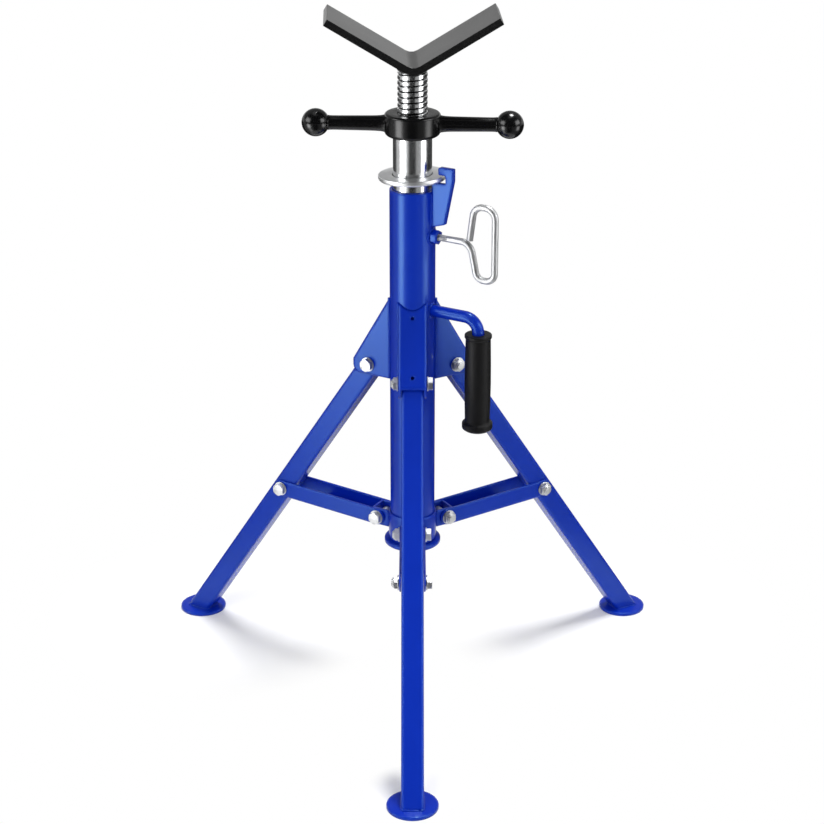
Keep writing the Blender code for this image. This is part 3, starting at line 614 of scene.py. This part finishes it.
def finish(name):
    """A finish's material: its shader takes colour, roughness and normal from the group."""
    material = bpy.data.materials.get(name)
    if material:
        return material
    group, _, colour, share, roughness, shine, own_values = FINISHES[name]
    material = bpy.data.materials.new(name)
    material.use_nodes = True
    tree = material.node_tree
    shader = tree.nodes["Principled BSDF"]
    shader.inputs["Metallic"].default_value = float(group is metal_group)
    shader.inputs["Specular IOR Level"].default_value = shine
    shader.inputs["Specular Tint"].default_value = (*PAINT_TINT, 1) if name == PAINT else WHITE
    base = [share * value for value in getattr(bpy.context.scene.stand_colours, colour)]
    values = enumerate(((*base, 1.0), roughness, *own_values))
    effect = add_node(tree, "ShaderNodeGroup", values, node_tree=group())
    for label, target in (
            ("Colour", "Base Color"), ("Roughness", "Roughness"), ("Normal", "Normal")):
        tree.links.new(effect.outputs[label], shader.inputs[target])
    return material


# Pieces

def new_object(name, data):
    """An object of the data, linked to the scene."""
    thing = bpy.data.objects.new(name, data)
    bpy.context.scene.collection.objects.link(thing)
    return thing


def piece(name, mesh, look, body, node=None):
    """Make the object, give it its finish, let it ride on its body and stand for its node."""
    thing = new_object(name, mesh)
    mesh.materials.clear()
    mesh.materials.append(finish(look))
    mesh.shade_smooth()
    mesh.set_sharp_from_angle(angle=math.radians(SHARP_ANGLE))
    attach(thing, body)
    if node:
        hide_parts(node)
    return thing


def sheet_piece(name, node, body, look=PAINT, edge=1.0):
    """A softened copy of a sheet, bar or tube node with its edges broken.

    The edge is a multiple of the sheet edge, and the shading normals lean to the larger faces.
    """
    thing = piece(name, softened_copy(name, node), look, body, node)
    bevel = thing.modifiers.new("broken edges", "BEVEL")
    bevel.width = bpy.context.scene.stand_sizes.sheet_edge * edge
    bevel.segments = 2 if edge <= 1 else 4
    bevel.limit_method = "ANGLE"
    bevel.angle_limit = math.radians(SHARP_ANGLE)
    shading = thing.modifiers.new("even shading", "WEIGHTED_NORMAL")
    shading.keep_sharp = True
    return thing


def round_node(node):
    """Radius, foot and top of a node that is round about the column's axis."""
    low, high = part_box(node)
    return (high.y - low.y) / 2, low.z, high.z


def middle_height(node):
    """Height of the middle of a node."""
    return sum(corner.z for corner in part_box(node)) / 2


def axis_piece(name, corners, look, body, node, sides=ROUND_SIDES):
    """A turned piece about the column's axis, from (radius, height, rounding) corners."""
    mesh = turned(name, arc_corners(corners), sides)
    piece(name, moved(mesh, at(0, AXIS_Y, 0)), look, body, node)


def column_pieces():
    """The column with its softened rim, and the base disc under it."""
    foot = COLUMN_LOW.z
    axis_piece("painted_column", [
        (COLUMN_RADIUS, COLUMN_TOP, 0.0009), (COLUMN_RADIUS, foot, 0.0006),
        (COLUMN_BORE, foot, 0), (COLUMN_BORE, COLUMN_TOP, 0.0006)], PAINT, "stand", "column_tube")
    radius, foot, top = round_node("base_disc")
    axis_piece("painted_base_disc", [
        (0, top, 0), (radius, top, 0.001), (radius, foot, 0.001), (0, foot, 0)],
        PAINT, "stand", "base_disc")


def leg_pieces():
    """The three hoods, legs, struts, lugs and feet in frame paint."""
    for side in LEG_AZIMUTHS:
        sheet_piece(f"painted_hood_{side}", f"hood_{side}", "stand")
        sheet_piece(f"painted_leg_{side}", f"leg_{side}", f"{side}_leg")
        sheet_piece(f"painted_strut_{side}", f"strut_{side}", f"{side}_strut")
        sheet_piece(f"painted_lug_{side}", f"collar_lug_{side}", "collar")
        low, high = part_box(f"foot_{side}")
        radius = (high.x - low.x) / 2
        centre = (low + high) / 2
        name = f"painted_foot_{side}"
        foot = turned(name, arc_corners([
            (0, high.z, 0), (radius, high.z, 0.0016), (radius, low.z, 0.0005), (0, low.z, 0)]))
        place = at(centre.x, centre.y, 0)
        piece(name, moved(foot, place), PAINT, f"{side}_leg", f"foot_{side}")


def collar_sleeve_piece():
    """The sliding sleeve with soft rims."""
    radius, foot, top = round_node("collar_sleeve")
    bore = COLUMN_RADIUS + SEAT_GAP
    axis_piece("painted_sleeve", [
        (radius, top, 0.0007), (radius, foot, 0.0007), (bore, foot, 0), (bore, top, 0)],
        PAINT, "collar", "collar_sleeve")


def washer_mesh(low, high, bore):
    """A stamped washer with soft rims."""
    return turned("washer", arc_corners([
        (WASHER_RADIUS, high, 0.0004), (WASHER_RADIUS, low, 0.0004), (bore, low, 0),
        (bore, high, 0)]), WASHER_SIDES)


def shank_mesh(top, end):
    """A bolt's shank, or the short end of one, rounded at its far end."""
    return turned("shank", arc_corners([
        (0, top, 0), (BOLT_RADIUS, top, 0), (BOLT_RADIUS, end, 0.0006), (0, end, 0)]), ROD_SIDES)


def bolt_mesh(name, half_width, shank_end):
    """A hexagon bolt with its washer: head on the +z side of a stack, shank through it."""
    seat = half_width + SEAT_GAP
    washer_top = seat + WASHER_THICKNESS
    head = hexagon("head", washer_top, washer_top + BOLT_HEAD_HEIGHT)
    shank = shank_mesh(washer_top, shank_end)
    return joined(name, [washer_mesh(seat, washer_top, BOLT_RADIUS), head, shank])


def nut_mesh(name, half_width):
    """A locking nut with its washer on the -z side: a hexagon with a rounded collar on it."""
    seat = -half_width - SEAT_GAP
    washer_foot = seat - WASHER_THICKNESS
    crown = washer_foot - NUT_HEXAGON_HEIGHT
    collar_top = crown + NUT_COLLAR_OVERLAP
    foot = washer_foot - NUT_HEIGHT
    nut = hexagon("nut", crown, washer_foot, chamfer_low=True, bore=NUT_BORE)
    collar = turned("collar", arc_corners([
        (NUT_COLLAR_RADIUS, collar_top, 0), (NUT_COLLAR_RADIUS, foot, 0.0011),
        (NUT_BORE, foot, 0), (NUT_BORE, collar_top, 0)]), WASHER_SIDES)
    return joined(name, [washer_mesh(washer_foot, seat, NUT_BORE), nut, collar])


def bolt_pieces():
    """Bolts and nuts at the hood pivots, the collar lugs and the struts' outer ends.

    A strut's bolt is a short end on each side, because the leg between them turns on its own.
    """
    for side, azimuth in LEG_AZIMUTHS.items():
        for label, (reach, height), half_width, body in (
                ("pivot", HOOD_PIVOT, HOOD_HALF_WIDTH, "stand"),
                ("collar", LUG_PIVOT, STRUT_HALF_WIDTH, "collar"),
                ("strut_end", STRUT_PIVOT, STRUT_HALF_WIDTH, f"{side}_strut")):
            far_end = -half_width - BOLT_REST
            divided = label == "strut_end"
            bolt = bolt_mesh(f"{label}_bolt", half_width, STUB_END if divided else far_end)
            nut = nut_mesh(f"{label}_nut", half_width)
            if divided:
                nut = joined(f"{label}_nut", [nut, shank_mesh(-STUB_END, far_end)])
            place = round_frame(azimuth) @ at(reach, 0, height) @ turn(-90, "X")
            for kind, mesh in (("bolt", bolt), ("nut", nut)):
                node = f"{label}_{kind}_{side}"
                piece(f"plated_{node}", moved(mesh, place), "bright_zinc", body, node)


def tube_pieces():
    """The plated telescoping tube, and the finish of the bush inside the column."""
    radius, foot, top = round_node("inner_tube")
    bore = radius - TUBE_WALL
    axis_piece("plated_tube", [
        (radius, top, 0.0008), (radius, foot, 0.0008), (bore, foot, 0), (bore, top, 0)],
        "tube_chrome", "tube", "inner_tube", TUBE_SIDES)
    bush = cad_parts["guide_bush"].data
    bush.materials.clear()
    bush.materials.append(finish("bush_brass"))


def hub_pieces():
    """The cast jack nut: a turned hub, two tapered arms with flared roots, and ball knobs."""
    radius, foot, top = round_node("jack_nut_hub")
    tube_radius, _, tube_top = round_node("inner_tube")
    seat = tube_radius + SEAT_GAP
    seat_top = tube_top + SEAT_GAP
    axis_piece("cast_hub", [
        (HUB_BORE, top, 0.0008), (radius, top, 0.0028), (radius, foot, 0.005),
        (seat, foot, 0.0006), (seat, seat_top, 0), (HUB_BORE, seat_top, 0)],
        "black_cast_gloss", "jack_nut", "jack_nut_hub")
    ball_low, ball_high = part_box("arm_ball_right")
    ball_radius = (ball_high.z - ball_low.z) / 2
    for side, azimuth in ARM_AZIMUTHS.items():
        place = round_frame(azimuth) @ at(0, 0, middle_height("arm_ball_right"))
        reach = np.linspace(
            radius - ARM_ENTRY, BALL_REACH - ball_radius * BALL_ENTRY_SHARE, ARM_RINGS)
        share = (reach - reach[0]) / (reach[-1] - reach[0])
        root = ROOT_FLARE[0] * np.exp(-share / ROOT_FLARE[1])
        tip = TIP_FLARE[0] * np.exp((share - 1) / TIP_FLARE[1])
        arm = swept(
            "arm", np.stack([reach, reach * 0], 1), ARM_RADIUS - ARM_TAPER * share + root + tip)
        piece(
            f"cast_arm_{side}", moved(arm, place), "black_cast_gloss", "jack_nut",
            f"nut_arm_{side}")
        angle = np.linspace(0, math.pi, BALL_RINGS)
        ball = turned(
            "ball", ball_radius * np.stack([np.sin(angle), np.cos(angle)], 1), BALL_SIDES)
        piece(
            f"ball_knob_{side}", moved(ball, place @ at(BALL_REACH, 0, 0)), "black_knob_gloss",
            "jack_nut", f"arm_ball_{side}")


def head_pieces():
    """The V head in satin black, and the jack screw with its rolled thread."""
    sizes = bpy.context.scene.stand_sizes
    sheet_piece("coated_v_head", "v_head", "jack_head", "black_head_coat", HEAD_EDGE)
    radius, foot, top = round_node("jack_screw")
    screw = threaded("rolled_screw", radius, sizes.thread_depth, sizes.thread_pitch, foot, top)
    piece(
        "rolled_screw", moved(screw, at(0, AXIS_Y, 0)), "screw_steel", "jack_head", "jack_screw")


def clutch_pieces():
    """The latch plate in frame paint, and the plated clutch ring in its notch."""
    sheet_piece("painted_latch", "latch_plate", "stand")
    ring = turned("plated_ring", arc_corners([
        (RING_RADIUS, RING_HALF, 0.0009), (RING_RADIUS, -RING_HALF, 0.0034),
        (RING_BORE, -RING_HALF, 0.0006), (RING_BORE, RING_HALF, 0.0006)]))
    place = (
        round_frame(TACKLE_AZIMUTH) @ at(RING_PIVOT_REACH, 0, COLUMN_TOP + RING_RISE)
        @ turn(RING_TILT, "Y") @ at(-RING_PIVOT_REACH, 0, 0))
    piece("plated_ring", moved(ring, place), "ring_zinc", "clutch", "clutch_ring")


def clamp_pieces():
    """The nut on the column, and the looped wire that screws into it.

    The wire's radius is r (1 - share * groove(s)) along its thread, with the groove
    (1 + cos) / 2 of the length s over the pitch, and r beyond it.
    """
    sheet_piece("painted_boss", "clamp_boss", "stand", edge=BOSS_EDGE)
    route = arc_corners(WIRE_ROUTE, WIRE_ARC_STEP)
    reach = np.arange(WIRE_START, WIRE_THREAD_END, WIRE_STEP)
    path = np.concatenate([np.stack([reach, reach * 0], 1), route[1:]])
    groove = (1 + np.cos(2 * math.pi * reach / WIRE_PITCH)) / 2
    radii = np.full(len(path), WIRE_RADIUS)
    radii[:len(reach)] *= 1 - WIRE_GROOVE_SHARE * groove
    wire = swept("looped_wire", path, radii)
    place = round_frame(TACKLE_AZIMUTH) @ at(0, 0, middle_height("clamp_boss"))
    piece("looped_wire", moved(wire, place), "wire_zinc", "clamp", "clamp_screw")


def handle_pieces():
    """The bent carry rod, and its moulded rubber grip."""
    foot, top = (corner.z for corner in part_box("handle_grip"))
    route = arc_corners([
        (COLUMN_RADIUS - ROD_ENTRY, top + ROD_RISE, 0), (GRIP_REACH, top + ROD_RISE, ROD_BEND),
        (GRIP_REACH, top - ROD_DEPTH, 0)], WIRE_ARC_STEP)
    place = round_frame(TACKLE_AZIMUTH)
    piece(
        "painted_rod", moved(swept("painted_rod", route, ROD_RADIUS), place), PAINT, "stand",
        "handle_rod")
    grip = turned("moulded_grip", arc_corners([
        (0, top - GRIP_RIM_DEPTH, 0), (0.0069, top - GRIP_RIM_DEPTH, 0), (0.0069, top, 0.0006),
        (GRIP_FLANGE_RADIUS, top, 0.0012), (GRIP_FLANGE_RADIUS, top - 0.0035, 0.0011),
        (GRIP_NECK_RADIUS, top - 0.0050, 0.0018), (GRIP_BELLY_RADIUS, (top + foot) / 2, 1.1),
        (GRIP_NECK_RADIUS, foot + 0.0115, 0.0018), (GRIP_FOOT_RADIUS, foot + 0.0100, 0.0018),
        (GRIP_FOOT_RADIUS, foot + 0.0035, 0.0022), (0.0132, foot + 0.0008, 0.0030),
        (0, foot, 0)], GRIP_ARC_STEP))
    piece(
        "moulded_grip", moved(grip, place @ at(GRIP_REACH, 0, 0)), "grip_rubber", "stand",
        "handle_grip")


def leg_weld_paths(step):
    """Lines of the welds of one leg, in its leg frame: hood, lug and foot."""
    paths = {}
    for label, (radius, half, stand_off, foot, top) in EDGE_WELDS.items():
        reach = math.sqrt(radius ** 2 - half ** 2) + WELD_REACH
        paths[label] = [
            spaced((reach, y, foot), (reach, y, top), step)
            for y in (-half - stand_off, half + stand_off)]
    half = LEG_WIDTH / 2
    slant = half / math.cos(math.radians(LEG_TILT))
    ring = arc_corners([
        (FOOT_REACH + x, y, FOOT_WELD_CORNER)
        for x, y in ((slant, half), (-slant, half), (-slant, -half), (slant, -half))],
        WELD_ARC_STEP)
    ring = np.concatenate([ring, ring[:1]])
    corners = np.concatenate([ring, np.full((len(ring), 1), FOOT_WELD_HEIGHT)], 1)
    stretches = [spaced(a, b, step)[:-1] for a, b in zip(corners[:-1], corners[1:])]
    paths["foot"] = [np.concatenate(stretches)]
    return paths


def saddle_path(radius, height, step):
    """A ring round a bar that meets the column: (sqrt(R^2 - y^2), y, z), y = r sin, z = r cos.

    Its last part lies over its first, so that the bead has no gap.
    """
    sweep = SADDLE_TURNS * 2 * math.pi
    angle = np.linspace(0, sweep, int(sweep * radius / step))
    across = radius * np.sin(angle)
    return np.stack([
        np.sqrt(COLUMN_RADIUS ** 2 - across ** 2) + SADDLE_LIFT, across,
        height + radius * np.cos(angle)], 1)


def weld_piece(name, label, paths, azimuth, body):
    """One painted piece with a bead along each path, turned to its azimuth."""
    sizes = bpy.context.scene.stand_sizes
    radius = sizes.bead_radius * WELD_SHARES[label]
    beads = [bead_mesh("bead", path, radius, sizes.bead_step) for path in paths]
    piece(name, moved(joined(name, beads), round_frame(azimuth)), PAINT, body)


def weld_pieces():
    """Weld beads under the paint where sheet, rod, nut and tube meet."""
    step = bpy.context.scene.stand_sizes.bead_step / RINGS_PER_RIPPLE
    leg_paths = leg_weld_paths(step)
    for side, azimuth in LEG_AZIMUTHS.items():
        for label, body in (("hood", "stand"), ("lug", "collar"), ("foot", f"{side}_leg")):
            weld_piece(f"{label}_weld_{side}", label, leg_paths[label], azimuth, body)
    rod_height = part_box("handle_grip")[1].z + ROD_RISE
    paths = [
        saddle_path(BOSS_WELD_RADIUS, middle_height("clamp_boss"), step),
        saddle_path(ROD_WELD_RADIUS, rod_height, step)]
    reach = COLUMN_RADIUS + LATCH_WELD_LIFT
    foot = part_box("latch_plate")[0].z + LATCH_WELD_ENDS[0]
    top = COLUMN_TOP - LATCH_WELD_ENDS[1]
    for y in (-LATCH_WELD_SIDE, LATCH_WELD_SIDE):
        paths.append(spaced((reach, y, foot), (reach, y, top), step))
    weld_piece("tackle_weld", "tackle", paths, TACKLE_AZIMUTH, "stand")


# Stage

def lamp_round(name, azimuth, elevation, distance, size, power, shows):
    """A square area lamp at a direction and distance from the middle of the stand."""
    data = bpy.data.lights.new(name, "AREA")
    data.shape = "SQUARE"
    data.size = size
    data.energy = power
    lamp = new_object(name, data)
    aim = turn(azimuth, "Z") @ turn(-elevation, "Y") @ Vector((1, 0, 0))
    lamp.location = Vector((0, AXIS_Y, STAND_MIDDLE)) + aim * distance
    lamp.rotation_euler = aim.to_track_quat("Z", "Y").to_euler()
    lamp.visible_glossy = shows


def seen_mask(tree):
    """One for camera, glossy and transmission rays, and zero for the rest."""
    path = add_node(tree, "ShaderNodeLightPath").outputs
    seen = math_node(tree, "MAXIMUM", path["Is Camera Ray"], path["Is Glossy Ray"])
    return math_node(tree, "MAXIMUM", seen, path["Is Transmission Ray"])


def mixed(tree, factor, first, second):
    """A mix of two shaders."""
    return add_node(tree, "ShaderNodeMixShader", {"Fac": factor, 1: first, 2: second}).outputs[0]


def white_glow(tree, strength, colour=WHITE):
    """A plain emission."""
    return add_node(tree, "ShaderNodeEmission", {"Color": colour, "Strength": strength}).outputs[0]


def studio_world():
    """Soft grey light from all round, seen as white."""
    world = bpy.data.worlds.new("studio")
    bpy.context.scene.world = world
    world.use_nodes = True
    tree = world.node_tree
    soft = tree.nodes["Background"]
    soft.inputs["Color"].default_value = WHITE
    soft.inputs["Strength"].default_value = WORLD_LEVEL
    white = add_node(tree, "ShaderNodeBackground", {"Color": WHITE, "Strength": 1.0})
    light = mixed(tree, seen_mask(tree), soft.outputs[0], white.outputs[0])
    tree.links.new(light, tree.nodes["World Output"].inputs["Surface"])


def stage_tree(name, mesh):
    """The node tree of a new material on a mesh, with only its output node."""
    material = bpy.data.materials.new(name)
    material.use_nodes = True
    mesh.materials.append(material)
    tree = material.node_tree
    tree.nodes.remove(tree.nodes["Principled BSDF"])
    return tree


def studio_floor():
    """A pale floor: a grid whose height is zero everywhere.

    It is matte round the feet, where it keeps the shadow, and plain white where it runs out from
    the nearest of them, as far as it is seen by the camera or in metal.
    """
    span = np.linspace(-FLOOR_HALF, FLOOR_HALF, FLOOR_POINTS)
    across, along = np.meshgrid(span, span, indexing="ij")
    points = np.stack([across, along, 0 * along], -1)
    mesh = grid_mesh("floor", points[:, ::-1], wrap_columns=False)
    floor = new_object("floor", mesh)
    tree = stage_tree("floor_white", mesh)
    grey = (FLOOR_GREY, FLOOR_GREY, FLOOR_GREY, 1)
    matte = add_node(tree, "ShaderNodeBsdfDiffuse", {"Color": grey}).outputs[0]
    near = add_node(tree, "ShaderNodeAddShader", {0: matte, 1: white_glow(tree, FLOOR_LIFT)})
    place = add_node(tree, "ShaderNodeTexCoord").outputs["Object"]
    nearest = FAR_AWAY
    for side, azimuth in LEG_AZIMUTHS.items():
        foot = round_frame(azimuth) @ Vector((SHADOW_REACH, 0, 0))
        distance = add_node(
            tree, "ShaderNodeVectorMath", {0: place, 1: foot}, operation="DISTANCE")
        spread = math_node(tree, "MULTIPLY", distance.outputs["Value"], SHADOW_SPREADS[side])
        nearest = math_node(tree, "MINIMUM", spread, nearest)
    fade = map_range(tree, nearest, 0.0, 1.0, *SHADOW_FADE, interpolation_type="SMOOTHSTEP")
    seen = mixed(tree, fade, near.outputs[0], white_glow(tree, 1.0))
    shader = mixed(tree, seen_mask(tree), matte, seen)
    tree.links.new(shader, tree.nodes["Material Output"].inputs["Surface"])


def ramp(low, high, value):
    """A smooth step: 3 t^2 - 2 t^3, with t the value's share of the way from low to high."""
    share = np.clip((value - low) / (high - low), 0, 1)
    return share * share * (3 - 2 * share)


def band(rise_low, rise_high, fall_low, fall_high, value):
    """A smooth step up and, further on, down again."""
    return ramp(rise_low, rise_high, value) * (1 - ramp(fall_low, fall_high, value))


def card_glow(angle, reach):
    """Brightness of the reflected floor by the angle off the front, and the reach outward.

    It is dark straight ahead and light on both sides, with a much brighter strip in each, of
    which the right one lies further out. Behind, it is nearly dark.
    """
    outward = ramp(0.9, 1.5, reach)
    left = 0.50 * band(18, 30, 98, 118, -angle)
    right = 0.29 * band(14, 26, 68, 104, angle)
    left_strip = (0.28 + 0.76 * outward) * 8.0 * band(38, 52, 64, 78, -angle)
    right_strip = outward * 4.6 * band(50, 64, 72, 88, angle)
    behind = 0.03 * ramp(110, 140, np.abs(angle))
    return 0.02 + left + right + left_strip + right_strip + behind


def dome_glow(angle, elevation):
    """Brightness of the reflected surround above the floor.

    In front it is dark up to high overhead, with a bright panel low on each side. The rest is
    light up to 15 degrees, and grey above 22.
    """
    turned_away = np.abs(angle)
    front = 1 - ramp(85, 115, turned_away)
    overhead = ramp(66, 80, elevation)
    foot = 0.90 * (1 - ramp(7, 12, elevation))
    low_band = 0.85 * band(8, 12, 15, 22, elevation)
    grey = 0.12 * ramp(14, 20, elevation) + 0.18 * ramp(24, 28, elevation)
    backdrop = 0.03 + foot + low_band + grey
    panel = 5.0 * band(44, 56, 84, 98, turned_away) * band(10, 18, 34, 44, elevation)
    surround = 0.02 * front + backdrop * (1 - front)
    return 0.9 * overhead + (1 - overhead) * surround + panel


def glow_card(name, points, glow):
    """A card that only reflections see: its brightness is an attribute on its grid."""
    mesh = grid_mesh(name, points, wrap_columns=False)
    card = new_object(name, mesh)
    colour = np.ones((glow.size, 4), np.float32)
    colour[:, :3] = glow.reshape(-1, 1)
    mesh.attributes.new("glow", "FLOAT_COLOR", "POINT").data.foreach_set("color", colour.ravel())
    tree = stage_tree(name, mesh)
    source = add_node(tree, "ShaderNodeAttribute", attribute_name="glow")
    light = white_glow(tree, 1.0, source.outputs["Color"])
    tree.links.new(light, tree.nodes["Material Output"].inputs["Surface"])
    for kind in ("camera", "diffuse", "transmission", "volume_scatter", "shadow"):
        setattr(card, f"visible_{kind}", False)


def studio_cards():
    """The surround that paint and plating reflect.

    The floor part is (r sin a, -r cos a, 0) outside the white floor near the stand, and the part
    above it is (D cos e sin a, -D cos e cos a, D sin e).
    """
    angle = np.linspace(-180, 180, 181)
    turnwise = np.radians(angle)
    reach = np.array(CARD_REACHES)[:, None]
    floor_part = np.stack([
        reach * np.sin(turnwise), AXIS_Y - reach * np.cos(turnwise),
        np.full((len(reach), len(angle)), CARD_HEIGHT)], -1)
    glow_card("card_low", floor_part, card_glow(angle[None], reach))
    elevation = np.linspace(*DOME_ELEVATIONS)[:, None]
    rise = np.radians(elevation)
    dome = DOME_RADIUS * np.stack([
        np.cos(rise) * np.sin(turnwise), -np.cos(rise) * np.cos(turnwise),
        np.sin(rise) + 0 * turnwise], -1)
    glow_card("card_high", dome, dome_glow(angle[None], elevation))


def photo_camera():
    """The camera that the photograph's lines were fitted with."""
    data = bpy.data.cameras.new("camera")
    data.sensor_width = SENSOR_WIDTH
    data.lens = FOCAL_PIXELS / IMAGE_SIZE * SENSOR_WIDTH
    data.shift_x = (IMAGE_SIZE / 2 - PRINCIPAL_POINT[0]) / IMAGE_SIZE
    data.shift_y = (PRINCIPAL_POINT[1] - IMAGE_SIZE / 2) / IMAGE_SIZE
    camera = new_object("camera", data)
    camera.location = CAMERA_PLACE
    camera.rotation_euler = (math.radians(CAMERA_PITCH), 0, 0)
    bpy.context.scene.camera = camera


# Operators and panel

class MakeColumn(bpy.types.Operator):
    """Make the column and its base disc"""
    bl_idname = "jack_stand.column"
    bl_label = "Column"

    def execute(self, context):
        column_pieces()
        return {"FINISHED"}


class MakeTripod(bpy.types.Operator):
    """Make the hoods, legs, feet, struts, lugs and the sliding sleeve"""
    bl_idname = "jack_stand.tripod"
    bl_label = "Tripod"

    def execute(self, context):
        leg_pieces()
        collar_sleeve_piece()
        return {"FINISHED"}


class MakeBolts(bpy.types.Operator):
    """Make the plated bolts, washers and nuts"""
    bl_idname = "jack_stand.bolts"
    bl_label = "Bolts and nuts"

    def execute(self, context):
        bolt_pieces()
        return {"FINISHED"}


class MakeWelds(bpy.types.Operator):
    """Make the weld beads"""
    bl_idname = "jack_stand.welds"
    bl_label = "Welds"

    def execute(self, context):
        weld_pieces()
        return {"FINISHED"}


class MakeLift(bpy.types.Operator):
    """Make the telescoping tube, the clutch ring and its latch"""
    bl_idname = "jack_stand.lift"
    bl_label = "Telescoping tube"

    def execute(self, context):
        tube_pieces()
        clutch_pieces()
        return {"FINISHED"}


class MakeJack(bpy.types.Operator):
    """Make the jack nut, the screw and the V head"""
    bl_idname = "jack_stand.jack"
    bl_label = "Jack and head"

    def execute(self, context):
        hub_pieces()
        head_pieces()
        return {"FINISHED"}


class MakeTackle(bpy.types.Operator):
    """Make the clamp screw and the carry handle"""
    bl_idname = "jack_stand.tackle"
    bl_label = "Clamp and handle"

    def execute(self, context):
        clamp_pieces()
        handle_pieces()
        return {"FINISHED"}


class MakeStage(bpy.types.Operator):
    """Set up the floor, the light and the camera"""
    bl_idname = "jack_stand.stage"
    bl_label = "Stage"

    def execute(self, context):
        context.scene.view_settings.view_transform = "Standard"
        studio_world()
        studio_floor()
        studio_cards()
        photo_camera()
        for name, values in LAMPS.items():
            lamp_round(name, *values)
        return {"FINISHED"}


OPERATORS = (
    MakeColumn, MakeTripod, MakeBolts, MakeWelds, MakeLift, MakeJack, MakeTackle, MakeStage)


class StandPanel(bpy.types.Panel):
    """Lists the pieces of the stand with their sizes and colours"""
    bl_idname = "VIEW3D_PT_jack_stand"
    bl_label = "Jack stand"
    bl_space_type = "VIEW_3D"
    bl_region_type = "UI"
    bl_category = "Jack stand"

    def draw(self, context):
        for group in (context.scene.stand_sizes, context.scene.stand_colours):
            for name in group.__annotations__:
                self.layout.prop(group, name)
        for operator in OPERATORS:
            self.layout.operator(operator.bl_idname)


CLASSES = (StandSizes, StandColours, *OPERATORS, StandPanel)


def register():
    """Register the classes and hang the property groups on the scene."""
    for item in CLASSES:
        bpy.utils.register_class(item)
    bpy.types.Scene.stand_sizes = bpy.props.PointerProperty(type=StandSizes)
    bpy.types.Scene.stand_colours = bpy.props.PointerProperty(type=StandColours)


def unregister():
    """Take the property groups and classes away again."""
    del bpy.types.Scene.stand_colours
    del bpy.types.Scene.stand_sizes
    for item in reversed(CLASSES):
        bpy.utils.unregister_class(item)


def main():
    """Run every operator in its order."""
    register()
    for operator in OPERATORS:
        step = operator.bl_idname.split(".")[1]
        getattr(bpy.ops.jack_stand, step)()
    bpy.context.view_layer.update()


if __name__ == "__main__":
    main()
